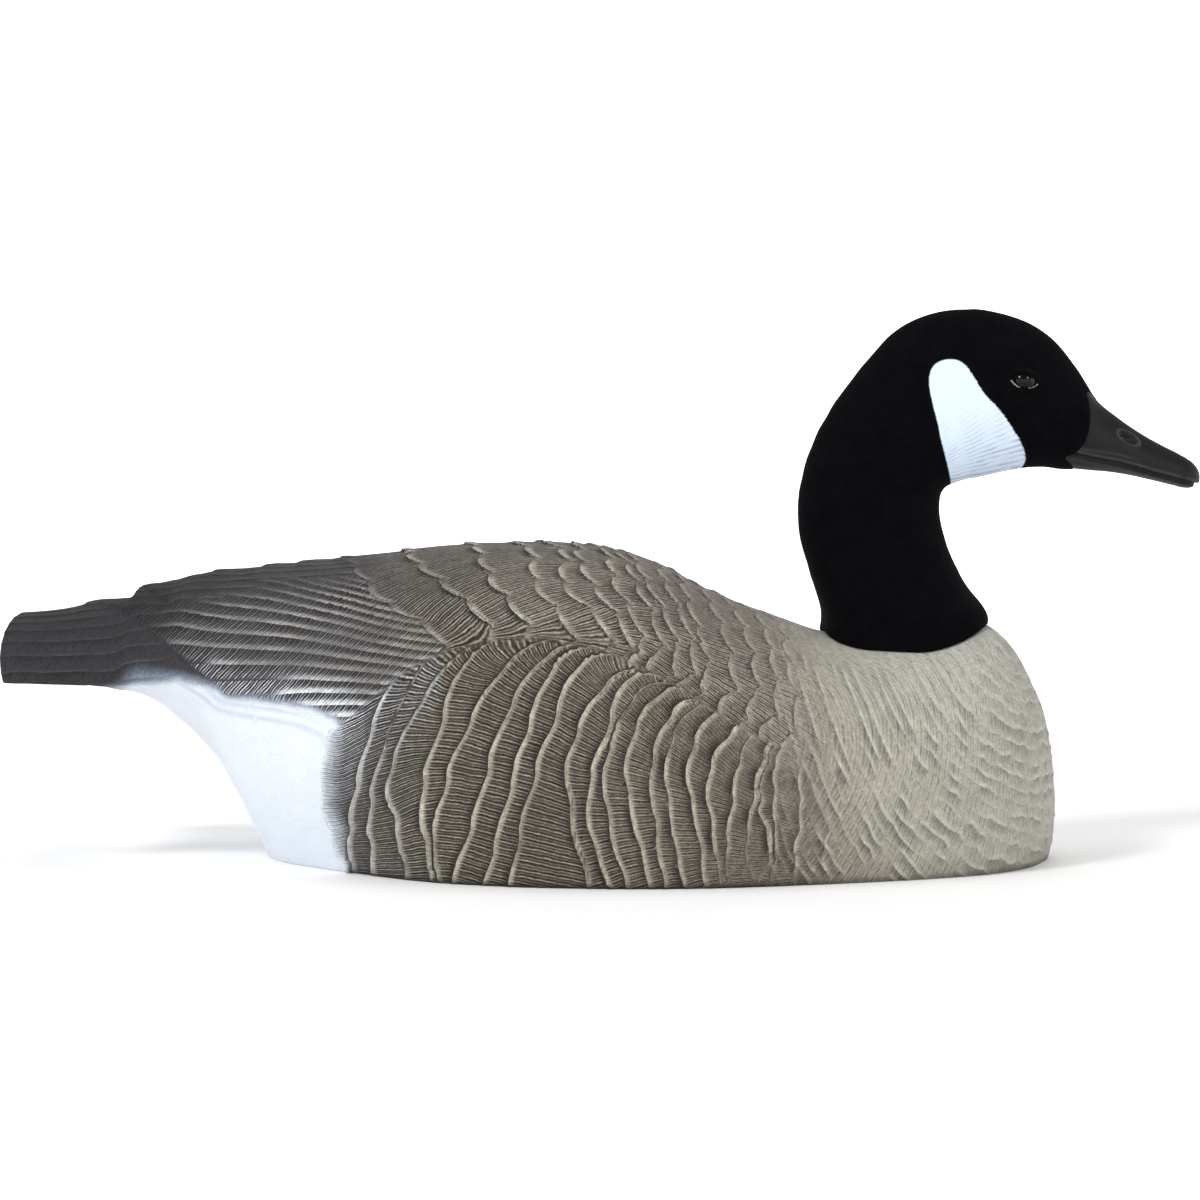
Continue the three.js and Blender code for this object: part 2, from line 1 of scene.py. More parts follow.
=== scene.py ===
"""Looks of the goose decoy: an airbrushed, carved-feather shell under a flocked black head and neck.

Sizes are in millimetres in the CAD's frame until a mesh is made: +X towards the bill, +Z up, the rim at
Z = 0. Places along the body count from the tail tip. Both sides are mirror images, so each form is drawn
once, for the decoy's left side, and closed with its mirror image.
"""

import logging
import math
from collections.abc import Sequence
from dataclasses import dataclass, field
from enum import Enum
from typing import Any

import bpy
import numpy as np
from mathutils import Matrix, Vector


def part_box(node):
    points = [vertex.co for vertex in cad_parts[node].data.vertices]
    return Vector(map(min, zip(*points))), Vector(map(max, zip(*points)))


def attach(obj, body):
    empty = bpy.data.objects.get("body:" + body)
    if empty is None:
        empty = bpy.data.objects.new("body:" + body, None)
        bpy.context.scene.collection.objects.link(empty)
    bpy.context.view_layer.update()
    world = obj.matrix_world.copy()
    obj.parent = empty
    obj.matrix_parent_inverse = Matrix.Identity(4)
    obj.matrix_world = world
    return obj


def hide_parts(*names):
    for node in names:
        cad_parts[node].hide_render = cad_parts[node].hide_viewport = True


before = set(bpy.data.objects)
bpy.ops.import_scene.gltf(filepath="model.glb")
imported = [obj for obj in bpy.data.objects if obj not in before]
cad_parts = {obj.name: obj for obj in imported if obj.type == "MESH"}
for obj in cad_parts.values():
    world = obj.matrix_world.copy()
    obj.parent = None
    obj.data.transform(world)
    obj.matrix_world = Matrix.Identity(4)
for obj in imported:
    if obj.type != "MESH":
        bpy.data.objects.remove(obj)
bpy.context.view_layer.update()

MM = 0.001
LOG = logging.getLogger("goose")
Array = np.ndarray
Material = bpy.types.Material
Piece = bpy.types.Object
Socket = bpy.types.NodeSocket
Tree = bpy.types.NodeTree
Line = Sequence[Sequence[float]]  # rows of a place and a value, or of two coordinates

# Lines of the body, as in the CAD: place along it and height or half width, in per cent
BACK_LINE = (
    (0, 77.4), (3.9, 78.5), (7.9, 81.3), (11.2, 83.6), (12.1, 85.8), (15.1, 87), (17.5, 90.1),
    (21.4, 91.4), (27, 93.4), (34.9, 96.3), (42.6, 99.2), (50.3, 100), (54.3, 99.4), (58, 97.3),
    (62, 92.9), (65.8, 86.2), (69.7, 80.5), (73.6, 75.9), (77.6, 71.6), (81.4, 70), (85.8, 70.1),
    (90.2, 72.4), (93, 74), (94.7, 70.7), (96.2, 64.9), (97.5, 56.7), (98.7, 47.8), (99.4, 37),
    (99.7, 27.5), (100, 17.8),
)
PLAN_LINE = (
    (0, 36.6), (1.8, 38.8), (7.9, 41), (14, 45.5), (20.7, 53.7), (26.3, 61.2), (32, 71.6),
    (39.8, 85.1), (45.5, 92.5), (52.5, 98.1), (58.7, 100), (65, 98.5), (70.4, 94), (77.8, 85.1),
    (85.3, 74), (91.1, 62.5), (95.4, 47.4), (97.4, 36.2), (98.4, 27.8), (99.2, 19), (99.74, 10.8),
    (100, 0),
)
WIDEST_LINE = (
    (0, 58), (7.9, 58), (14, 59.8), (20.7, 55.7), (26.3, 51.1), (32, 44.8), (36.4, 39.1),
    (40.1, 34.5), (44.5, 30.5), (50.8, 26.4), (60.6, 23.6), (82.3, 23.6), (91.1, 24.1),
    (96.3, 21.8), (100, 17.8),
)
BELLY_LINE = (
    (0, 69), (4.4, 62.1), (7.9, 56.3), (9.8, 53.7), (11.7, 52.3), (13.7, 49.1), (15.4, 44.3),
    (17.5, 37.6), (19.4, 30.6), (20.8, 22.1), (22.2, 13.1), (24.1, 0), (26.3, -13.8),
    (28.9, -26.4), (32.4, -39.1), (36.8, -49.4), (43.8, -58.6), (59.7, -64.4), (73.6, -59.8),
    (82.3, -52.9), (91.1, -41), (95.4, -24.5), (98.1, -7.5), (99.4, 0), (100, 17.8),
)
WING_LINE = (
    (0, 90), (10.5, 88), (15.2, 76), (18.2, 86), (20.7, 92), (26.3, 91), (32, 89), (34.3, 82),
    (36.4, 74), (40.1, 63), (44.5, 56.5), (50.8, 53), (58, 56), (64.1, 62), (68.7, 68.5),
    (72.2, 73), (76.7, 84), (82.3, 93), (91.1, 95), (100, 95),
)
LOWER_OUT = ((0, 1), (8, 1.1), (18, 1.6), (28, 1.6), (42, 1.1), (50, 1), (100, 1))
LOWER_DOWN = ((0, 2), (8, 1.9), (18, 1.6), (28, 1.6), (42, 1.1), (50, 1), (100, 1))
UPPER_POWER = 0.94

# Rings of the head and neck, as in the CAD, in per cent of its height above the seat: nape or crown
# (along, up), throat or jaw (along, up), half width, and how far the widest place lies to the jaw.
HEAD_LINE = (
    (-24.2, -7.8, 26.4, -5.6, 25, 0), (-24.5, 1.1, 26.2, 3.3, 24.7, 0),
    (-24.5, 7.9, 25.2, 8.2, 23.6, 0), (-27.8, 18.3, 18.3, 17.5, 20.8, 0),
    (-31.4, 31.1, 12.5, 31.1, 18.4, 0), (-31.7, 43.3, 11.2, 40.6, 17.3, 0),
    (-28.3, 56.8, 12.5, 45, 16.8, 0.05), (-22.2, 69.1, 16.1, 47, 16.7, 0.1),
    (-13.4, 81.2, 21.4, 48.3, 16.9, 0.14), (-2.8, 92.8, 26.9, 49.4, 17.2, 0.18),
    (8.2, 98.3, 32.5, 50.6, 17.3, 0.2), (20.4, 99.8, 37.5, 51.4, 16.8, 0.22),
    (32.6, 97.8, 42.8, 51.7, 15.6, 0.22), (44.2, 91.9, 48.1, 51.1, 13.4, 0.2),
    (52.8, 81.9, 53.1, 51, 10.9, 0.18), (58.9, 72.5, 58.3, 50.6, 9.3, 0.2),
    (65.3, 67, 63.9, 50.1, 8.6, 0.22), (72.6, 62, 70, 49.1, 7.9, 0.22),
    (79.2, 58.3, 76.9, 47.6, 7.3, 0.2), (85, 55.3, 83.3, 46.1, 6.4, 0.15),
    (88.9, 51.9, 88.3, 45.6, 4.6, 0),
)
BILL_TIP = (90.7, 48.1)


# Small helpers


def smoothstep(value: Array, start: float, end: float) -> Array:
    """Rises smoothly from 0 at start to 1 at end, or falls when end is the smaller."""
    share = np.clip((np.asarray(value, float) - start) / (end - start), 0, 1)
    return share * share * (3 - 2 * share)


def hump(distance: Array, spread: float) -> Array:
    """A rounded ridge: 1 at distance 0, fading over about the spread."""
    return np.exp(-((distance / spread) ** 2))


def towards_breast(percent: Array) -> Array:
    """The breast is round, so its lines run against the root of the distance from its front."""
    return -np.sqrt(np.maximum(0, 1 - np.asarray(percent, float) / 100))


class SmoothLine:
    """A smooth line through given points, which never swings past them."""

    def __init__(self, points: Line, round_front: bool = False) -> None:
        """Prepares the line.

        Args:
            points: Rows of a place and the line's value there.
            round_front: Whether places are stretched for the round breast.
        """
        table = np.array(points, float)
        self.stretch = towards_breast if round_front else np.asarray
        self.x, self.y = self.stretch(table[:, 0]), table[:, 1]
        self.width = np.diff(self.x)
        slope = np.diff(self.y) / self.width
        product, total = slope[:-1] * slope[1:], slope[:-1] + slope[1:]
        inner = np.where(product > 0, 2 * product / np.where(product > 0, total, 1), 0)
        self.tangent = np.concatenate([slope[:1], inner, slope[-1:]])

    def __call__(self, place: Array) -> Array:
        """Returns the line's value at each place."""
        at = np.clip(self.stretch(place), self.x[0], self.x[-1])
        i = np.clip(np.searchsorted(self.x, at) - 1, 0, len(self.width) - 1)
        t, rise = (at - self.x[i]) / self.width[i], self.y[i + 1] - self.y[i]
        bend_in = self.tangent[i] * self.width[i] - rise
        bend_out = rise - self.tangent[i + 1] * self.width[i]
        return self.y[i] + rise * t + t * (1 - t) * (bend_in * (1 - t) + bend_out * t)


def distance_to_line(across: Array, down: Array, corners: Line) -> Array:
    """Signed distance to an open line of corners: positive on its left, seen along it with down as up.

    Args:
        across: First coordinate of each point.
        down: Second coordinate of each point.
        corners: The line's corners.

    Returns:
        The distance of each point, in the coordinates' unit.
    """
    best, signed = np.full(across.shape, np.inf), np.zeros(across.shape)
    for (ax, ay), (bx, by) in zip(corners[:-1], corners[1:]):
        run_x, run_y = bx - ax, by - ay
        share = ((across - ax) * run_x + (down - ay) * run_y) / (run_x**2 + run_y**2)
        share = np.clip(share, 0, 1)
        off_x, off_y = across - ax - share * run_x, down - ay - share * run_y
        away = np.hypot(off_x, off_y)
        nearer = away < best
        side = np.where(run_x * off_y - run_y * off_x >= 0, 1.0, -1.0)
        best, signed = np.where(nearer, away, best), np.where(nearer, side * away, signed)
    return signed


def distance_to_outline(across: Array, down: Array, corners: Line) -> Array:
    """Distance to a closed outline, positive inside it."""
    closed = list(corners) + [corners[0]]
    away = np.abs(distance_to_line(across, down, closed))
    inside = np.zeros(across.shape, bool)
    for (ax, ay), (bx, by) in zip(closed[:-1], closed[1:]):
        between = (ay > down) != (by > down)
        rise = by - ay if by != ay else 1e-9
        inside ^= between & (across < ax + (down - ay) * (bx - ax) / rise)
    return np.where(inside, away, -away)


def rounded_outline(corners: Line) -> list[tuple[float, float]]:
    """Cuts the corners of a closed outline twice, which rounds it."""
    points = [tuple(corner) for corner in corners]
    for _ in range(2):
        points = [
            (a[0] + (b[0] - a[0]) * share, a[1] + (b[1] - a[1]) * share)
            for a, b in zip(points, points[1:] + points[:1])
            for share in (0.25, 0.75)
        ]
    return points


def hand_waver(across: Array, down: Array, size: float, seed: int) -> Array:
    """Smooth unevenness of hand work, from -1 to 1.

    Args:
        across: First coordinate of each point.
        down: Second coordinate of each point.
        size: Distance over which it changes.
        seed: Picks the pattern.

    Returns:
        The unevenness at each point.
    """
    cells = 64
    lattice = np.random.default_rng(seed).uniform(-1, 1, (cells, cells))
    x, y = np.asarray(across, float) / size, np.asarray(down, float) / size
    i, j = np.floor(x).astype(int), np.floor(y).astype(int)
    u, v = smoothstep(x - i, 0, 1), smoothstep(y - j, 0, 1)

    def between(row: int) -> Array:
        """The pattern between the two corners of each point's cell in one row of them."""
        left, right = (lattice[(i + step) % cells, (j + row) % cells] for step in (0, 1))
        return left * (1 - u) + right * u

    return between(0) * (1 - v) + between(1) * v


def linear(hex_colour: str) -> tuple[float, float, float]:
    """Turns an sRGB hex colour into linear red, green and blue."""
    levels = [int(hex_colour[i : i + 2], 16) / 255 for i in (1, 3, 5)]
    return tuple(v / 12.92 if v <= 0.04045 else ((v + 0.055) / 1.055) ** 2.4 for v in levels)


def rgba(hex_colour: str) -> tuple[float, float, float, float]:
    """The linear colour with full cover, as a node's socket takes it."""
    return (*linear(hex_colour), 1.0)


def add_node(
    tree: Tree,
    kind: str,
    settings: dict[str | int, Any] | None = None,
    links: dict[str | int, Socket] | None = None,
) -> bpy.types.NodeOutputs:
    """Adds a node with its settings and links.

    Args:
        tree: The material's or world's node tree.
        kind: Blender's name for the node type, without "ShaderNode".
        settings: Properties of the node, and values of inputs by name or number.
        links: Outputs to connect, by the input's name or number.

    Returns:
        The new node's outputs.
    """
    node = tree.nodes.new("ShaderNode" + kind)
    for name, value in (settings or {}).items():
        if isinstance(name, str) and hasattr(node, name):
            setattr(node, name, value)
        else:
            node.inputs[name].default_value = value
    for name, output in (links or {}).items():
        tree.links.new(output, node.inputs[name])
    return node.outputs


def ranges(start: float, end: float, low: float = 0.0, high: float = 1.0) -> dict[str, float]:
    """Settings for a node that maps the range from start to end onto the one from low to high."""
    return {"From Min": start, "From Max": end, "To Min": low, "To Max": high}


def pattern(spacing: float, detail: float, roughness: float = 0.5) -> dict[str, float]:
    """Settings for a noise that changes over a real distance, in millimetres."""
    return {"Scale": 1 / (spacing * MM), "Detail": detail, "Roughness": roughness}


def blank_material(name: str) -> tuple[Material, Tree]:
    """Makes a material without any nodes, and returns it with its node tree."""
    material = bpy.data.materials.new(name)
    material.use_nodes = True
    material.node_tree.nodes.clear()
    return material, material.node_tree


def read_field(tree: Tree, name: str) -> Sequence[Socket]:
    """Returns the three values that the mesh holds at each point under a field's name."""
    vector = add_node(tree, "Attribute", {"attribute_name": name})["Vector"]
    return add_node(tree, "SeparateXYZ", None, {0: vector})


def end_in_shader(
    tree: Tree, settings: dict[str, Any], links: dict[str, Socket]
) -> None:
    """Ends a material's tree in the shader of its surface, with the shader's settings and links."""
    shader = add_node(tree, "BsdfPrincipled", settings, links)
    add_node(tree, "OutputMaterial", None, {"Surface": shader[0]})


def make_piece(
    name: str,
    places: Array,
    faces: Sequence[Sequence[int]],
    surfaces: Sequence[int] | None = None,
    fields: dict[str, Array] | None = None,
) -> Piece:
    """Makes a smooth-shaded object and links it into the scene.

    Args:
        name: The piece's name.
        places: Its points, in metres.
        faces: The corners of each face, anticlockwise from outside.
        surfaces: The material slot of each face, where there is more than one.
        fields: For each field that its material reads, a vector at every point.

    Returns:
        The object.
    """
    mesh = bpy.data.meshes.new(name)
    mesh.from_pydata(places.tolist(), [], faces)
    if surfaces is not None:
        mesh.polygons.foreach_set("material_index", surfaces)
    for field_name, vectors in (fields or {}).items():
        attribute = mesh.attributes.new(field_name, "FLOAT_VECTOR", "POINT")
        attribute.data.foreach_set("vector", vectors.astype(np.float32).ravel())
    mesh.validate()
    mesh.shade_smooth()
    piece = bpy.data.objects.new(name, mesh)
    bpy.context.scene.collection.objects.link(piece)
    return piece


def merge_points(
    points: Array, faces: Array, surfaces: Array
) -> tuple[Array, list[list[int]], list[int]]:
    """Merges points that coincide, and leaves out what no face uses and faces without area.

    Args:
        points: Points in millimetres.
        faces: The corners of each face, by the points' numbers.
        surfaces: The material slot of each face.

    Returns:
        The numbers of the points that stay, the corners of the faces that stay by their new
        numbers, and those faces' slots.
    """
    used = np.unique(faces)
    snapped = np.round(points[used], 5)
    _, first, merged = np.unique(snapped, axis=0, return_index=True, return_inverse=True)
    renumber = np.zeros(len(points), int)
    renumber[used] = merged.ravel()
    kept_faces, kept_surfaces = [], []
    for corners, surface in zip(renumber[faces].tolist(), surfaces.tolist()):
        distinct = [corner for i, corner in enumerate(corners) if corner != corners[i - 1]]
        if len(set(distinct)) >= 3:
            kept_faces.append(distinct)
            kept_surfaces.append(surface)
    return used[first], kept_faces, kept_surfaces


class Paint(Enum):
    """The shell's paints, as they look on it, and the colour of the shade painted onto it."""

    CHARCOAL = "#2C2C30"  # tail
    SLATE = "#403E42"  # wing
    UMBER = "#4C433B"  # rear of the flank
    TAUPE = "#6E6459"  # flank, and the foot of the breast
    HEATHER = "#73665F"  # shoulder
    SAND = "#A09C8F"  # breast
    PALE = "#B5B4AB"  # round the neck
    ASH = "#A8A6A2"  # feather edges of the wing
    CREAM = "#BFBAA9"  # feather edges of the flank
    BONE = "#C6C5BB"  # feather edges of shoulder and breast
    MIST = "#A3B2C6"  # soft border of the white; also painted shade in the folds over the rump and towards its bottom
    SNOW = "#E5EBF2"  # rump
    SHADE = "#1B1713"  # painted shade: between the barbs, behind each feather's edge and along the rim's foot


class SurfaceKind(Enum):
    """Surfaces of the shell, in the order of its material slots."""

    PAINTED = 0
    BARE = 1


class Family(Enum):
    """Families of feathers, by the name of the field that holds their rows."""

    FLANK = "flank"
    SHOULDER = "shoulder"
    WING = "wing"
    TAIL = "tail"
    BREAST = "breast"


CUT = "_cut"  # ends the name of the field that says how strongly a family is carved


# Closed, mirrored meshes


class MirroredMesh:
    """Collects a left half as grids of points and closes it with its mirror image."""

    def __init__(self) -> None:
        """Starts without points or faces."""
        self.points: list[Array] = []
        self.faces: list[tuple[Array, int]] = []
        self.fields: dict[str, list[tuple[int, Array]]] = {}
        self.count = 0

    def add_grid(self, points: Array, fields: dict[str, Array] | None = None) -> Array:
        """Adds a grid of points with its fields, and returns their numbers in the same grid."""
        numbers = self.count + np.arange(points[..., 0].size).reshape(points.shape[:-1])
        self.points.append(points.reshape(-1, 3))
        for name, vectors in (fields or {}).items():
            self.fields.setdefault(name, []).append((self.count, vectors.reshape(-1, 3)))
        self.count += numbers.size
        return numbers

    def add_quads(self, a: Array, b: Array, c: Array, d: Array, surface: int = 0) -> None:
        """Adds one quad for each set of four numbers, seen anticlockwise from outside."""
        self.faces.append((np.stack([x.ravel() for x in (a, b, c, d)], -1), surface))

    def add_skin(self, numbers: Array, surface: int = 0, inward: bool = False) -> None:
        """Adds the quads of a grid whose rows run forward and whose columns run down."""
        a, b = numbers[:-1, :-1], numbers[1:, :-1]
        c, d = numbers[1:, 1:], numbers[:-1, 1:]
        self.add_quads(*((a, d, c, b) if inward else (a, b, c, d)), surface)

    def add_end(self, ring: Array, surface: int = 0, front: bool = False) -> None:
        """Closes an end: joins the ring's upper half to its lower half."""
        half = (len(ring) - 1) // 2
        upper, lower = ring[: half + 1], ring[::-1][: half + 1]
        a, b, c, d = upper[:-1], upper[1:], lower[1:], lower[:-1]
        self.add_quads(*((a, d, c, b) if front else (a, b, c, d)), surface)

    def build(self, name: str, origin: Array, smooth_below: float = 60.0) -> Piece:
        """Makes the Blender object.

        Args:
            name: The piece's name.
            origin: What is added to every point, in millimetres.
            smooth_below: Edges sharper than this angle, in degrees, stay sharp.

        Returns:
            The object, linked into the scene.
        """
        points = np.concatenate(self.points)
        middle = np.abs(points[:, 1]) < 1e-6
        numbers = np.arange(self.count)
        mirror = np.where(middle, numbers, self.count + numbers)
        both = np.concatenate([points, points * [1, -1, 1]])
        quads, surfaces = [], []
        for corners, surface in self.faces:
            for half in (corners, mirror[corners][:, ::-1]):
                quads.append(half)
                surfaces.append(np.full(len(half), surface))
        merged = merge_points(both, np.concatenate(quads), np.concatenate(surfaces))
        kept, faces, face_surfaces = merged
        places = (both[kept] + origin) * MM
        piece = make_piece(name, places, faces, face_surfaces, self._kept_fields(kept))
        piece.data.set_sharp_from_angle(angle=math.radians(smooth_below))
        return piece

    def _kept_fields(self, kept: Array) -> dict[str, Array]:
        """The fields at the points that are kept. Both sides have the same values."""
        found = {}
        for name, parts in self.fields.items():
            vectors = np.zeros((self.count, 3))
            for start, part in parts:
                vectors[start : start + len(part)] = part
            found[name] = vectors[kept % self.count]
        return found


# The body's form


@dataclass
class BodyForm:
    """The smooth form under the carving, drawn with the lines of the CAD's shell."""

    length: float
    height: float = 174.0
    width: float = 268.0
    tail_side: float = 5.0  # upright side of the tail, between its top and its underside
    lines: dict[str, SmoothLine] = field(init=False)

    def __post_init__(self) -> None:
        """Prepares the lines."""
        drawn = {"top": BACK_LINE, "half": PLAN_LINE, "widest": WIDEST_LINE, "bottom": BELLY_LINE}
        shaping = {"wing": WING_LINE, "out": LOWER_OUT, "down": LOWER_DOWN}
        self.lines = {name: SmoothLine(line, round_front=True) for name, line in drawn.items()}
        self.lines |= {name: SmoothLine(line) for name, line in shaping.items()}

    def section(self, along: Array) -> dict[str, Array]:
        """Sizes of the section at each place along the body."""
        percent = 100 * along / self.length
        size = {name: line(percent) for name, line in self.lines.items()}
        for name in ("top", "widest", "bottom"):
            size[name] = size[name] * self.height / 100
        size["half"] = size["half"] * self.width / 200
        size["side"] = self.tail_side * smoothstep(percent, 20, 5)
        return size

    def point(self, along: Array, angle: Array) -> Array:
        """Finds points of the smooth body.

        Args:
            along: Place of each point along the body.
            angle: 0 at the back, pi at the belly.

        Returns:
            The points of the left side.
        """
        size = self.section(along)
        sine, cosine = np.maximum(0, np.sin(angle)), np.cos(angle)
        upper, start = cosine >= 0, size["widest"]
        lip = size["side"] / 2
        out = size["half"] * np.where(upper, sine**UPPER_POWER, sine ** size["out"])
        reach = np.where(upper, size["top"] - start - lip, size["bottom"] - start + lip)
        power = np.where(upper, UPPER_POWER, size["down"])
        up = start + lip * np.clip(6 * cosine, -1, 1) + reach * np.abs(cosine) ** power
        return np.stack(np.broadcast_arrays(along, out, up), -1)

    def rim_angle(self, along: Array) -> Array:
        """Angle at which the section meets the ground, or pi where it stays above it."""
        size = self.section(along)
        start = size["widest"] - size["side"] / 2
        share = np.clip(start / np.maximum(start - size["bottom"], 1e-6), 0, 1)
        return np.where(size["bottom"] < 0, math.pi - np.arccos(share ** (1 / size["down"])), math.pi)

    def place(self, along: Array, down: Array) -> Array:
        """Finds points by how far down they lie.

        Args:
            along: Place of each point along the body.
            down: 0 at the back, 1 at the wing's lower line, 2 at the rim or the belly.

        Returns:
            The points of the left side.
        """
        wing = np.radians(self.section(along)["wing"])
        rim = self.rim_angle(along)
        angle = np.where(down <= 1, wing * down, wing + (rim - wing) * (down - 1))
        return self.point(along, angle)

    def height_at(self, along: Array, out: Array) -> Array:
        """Finds the height of the upper surface over places in plan.

        Args:
            along: Each place along the body.
            out: How far beside the middle it lies.

        Returns:
            The height over each place.
        """
        size = self.section(along)
        sine = np.clip(np.abs(out) / np.maximum(size["half"], 1e-6), 0, 1) ** (1 / UPPER_POWER)
        cosine = np.sqrt(1 - sine**2)
        reach = size["top"] - size["widest"] - size["side"] / 2
        lip = size["side"] / 2 * np.clip(6 * cosine, -1, 1)
        return size["widest"] + lip + reach * cosine**UPPER_POWER


# Feathers


@dataclass
class RowPlace:
    """Where each point lies among rows of feathers."""

    count: Array  # number of the row behind the point, plus its share of the way to the next
    pitch: Array  # millimetres from that row's edge to the next
    own: Array  # how strongly the row behind is carved, and...
    ahead: Array  # ...the one in front
    along: Array  # millimetres along the row's edge, by which the barbs are spaced

    LIP = 0.68  # height of the lip on a tip, as a share of the carving's depth
    LIP_SLOPE = 1.6  # millimetres over which it slopes down towards the next row...
    LIP_DROP = 1.0  # ...and drops to the row behind
    SHINGLE = 0.5  # how far a feather slopes down until the next one covers it

    def relief(self) -> Array:
        """Height of the carving: a rounded lip on each tip, and a slope down under the next one."""
        share = self.count - np.floor(self.count)
        lip = self.LIP * hump(share * self.pitch, self.LIP_SLOPE)
        next_lip = self.LIP * hump((1 - share) * self.pitch, self.LIP_DROP)
        return self.own * (lip + self.SHINGLE * (1 - share) ** 1.3) + self.ahead * next_lip


@dataclass
class FeatherRows:
    """Rows of overlapping feathers with their tips towards the tail."""

    levels: Array  # where the edges are given: shares of a depth, or millimetres round the body
    edges: Array  # for each row, how far along the body its edge lies at each level
    strength: Array  # for each row, how strongly it is carved at each level
    feather: float  # width of one feather, along the row
    bulge: float  # how far a feather's tip reaches behind its corners
    level_mm: float = 1.0  # millimetres round the body for one level, on the whole
    closest: float = 3.0  # least distance between two rows
    corner: float = 0.4  # how strongly a feather is carved at its corners, against its tip
    slant: float = 0.0  # how much further forward a feather's lower corner lies than its upper one
    unevenness: float = 2.2  # how far a row wanders
    smooth_over: float = 22.0  # the barbs' direction is evened out over this length

    SPARE = 12  # a row without carving lies this far beyond the first one and the last one
    WANDER = 46  # length of row over which it wanders one way

    def measure(self, along: Array, level: Array, mm_per_level: Array, seed: int) -> RowPlace:
        """Finds each point's place among the rows.

        Args:
            along: Place of each point along the body.
            level: Its level.
            mm_per_level: Millimetres round the body for one level, at each point.
            seed: Picks the unevenness of the rows.

        Returns:
            The place of every point.
        """
        before, after = self.edges[:1] - self.SPARE, self.edges[-1:] + self.SPARE
        rows = np.concatenate([before, self.edges, after])
        strengths = np.pad(self.strength, ((1, 1), (0, 0)))
        jitter = np.random.default_rng(seed).uniform(-0.25, 0.25, len(rows))
        places, runs, marks = [], [], []
        for i, row in enumerate(rows):
            round_mm = self.levels * self.level_mm
            row = row + self.unevenness * hand_waver(round_mm, 0 * row + 37 * i, self.WANDER, seed)
            edge, barb_run, edge_run = self._trace(row, along, level, mm_per_level)
            turn = edge_run / self.feather + 0.5 * i + jitter[i]
            turn = turn - np.floor(turn)
            tip = smoothstep(turn, 0, 0.5) * smoothstep(turn, 1, 0.72)
            edge = edge - self.bulge * tip + self.slant * (turn - 0.5) * smoothstep(turn, 1, 0.85)
            if places:
                edge = np.maximum(edge, places[-1] + self.closest)
            places.append(edge)
            runs.append(barb_run + 7.3 * i)
            wear_and_highlight = hand_waver(along * 0.3 + 51 * i, self.level_mm * level, 17, seed + 1)
            mark = np.interp(level, self.levels, strengths[i]) * (0.85 + 0.35 * wear_and_highlight)
            marks.append(np.clip(mark * (self.corner + (1 - self.corner) * tip), 0, 1.1))
        found = np.stack([places, runs, marks])
        behind = np.clip((found[0] <= along).sum(0) - 1, 0, len(rows) - 2)
        place, run, own = np.take_along_axis(found, behind[None, None], 1)[:, 0]
        next_place, _, ahead = np.take_along_axis(found, behind[None, None] + 1, 1)[:, 0]
        share = np.clip((along - place) / (next_place - place), 0, 0.9999)
        return RowPlace(behind + share - 1, next_place - place, own, ahead, run)

    def _trace(
        self, row: Array, along: Array, level: Array, mm_per_level: Array
    ) -> tuple[Array, Array, Array]:
        """Follows one row's edge.

        Args:
            row: Where the edge lies at each of the levels.
            along: Place of each point along the body.
            level: Its level.
            mm_per_level: Millimetres round the body for one level, at each point.

        Returns:
            For each point, where the edge lies at its level, how far along the edge the barb
            through the point starts, and how far along the edge its level lies.
        """
        round_mm = self.levels * self.level_mm
        spread = int(self.smooth_over / (round_mm[1] - round_mm[0]))
        window = np.hanning(2 * spread + 3)[1:-1]
        slope = np.pad(np.gradient(row, round_mm), spread, "edge")
        slope = np.convolve(slope, window / window.sum(), "valid")
        run = np.cumsum(np.hypot(np.diff(row), np.diff(round_mm)))
        run = np.concatenate([[0], run])
        edge, lean = np.interp(level, self.levels, row), np.interp(level, self.levels, slope)
        start = level + lean * (along - edge) / (1 + lean**2) / mm_per_level
        beyond = (start - np.clip(start, self.levels[0], self.levels[-1])) * mm_per_level
        barb_run = np.interp(start, self.levels, run) + beyond
        return edge, barb_run, np.interp(level, self.levels, run)


# Rows of the flank: where the row passes the middle of the flank, how far forward it hooks at the
# pocket's edge and reaches at the rim, and the depth between which it shows (0 pocket, 1 rim).
FLANK_ROWS = (
    (178, 10, 9, 0, 1), (192, 23, -2, 0, 1), (202, 30, 1, 0.3, 1), (213, 44, 7, 0, 1),
    (227, 44, 7, 0, 1), (244, 55, -10, 0, 1), (264, 47, -19, 0, 1), (277, 40, -16, 0, 1),
    (286, 44, -12, 0, 1), (301, 43, 12, 0, 1), (316, 36, 12, 0, 1), (326, 34, 13, 0.3, 1),
    (337, 25, 13, 0, 1), (348, 23, 5, 0, 1), (358, 16, 4, 0.35, 1), (368, 10, 5, 0, 1),
    (378, 11, 5, 0, 0.8), (388, 6, -1, 0.2, 0.8), (396, 8, 4, 0, 0.6), (404, 0, -4, 0.4, 0.8),
    (412, -6, -4, 0, 0.7), (424, -6, 0, 0.1, 0.9), (437, -6, 4, 0.2, 1), (450, -4, 8, 0.1, 0.9),
)
FLANK_HOOK = (
    (0, 1), (0.05, 0.75), (0.1, 0.58), (0.18, 0.4), (0.26, 0.26), (0.36, 0.13), (0.52, 0), (1, 0),
)
FLANK_FOOT = ((0, 0), (0.5, 0), (0.7, 0.25), (1, 1))

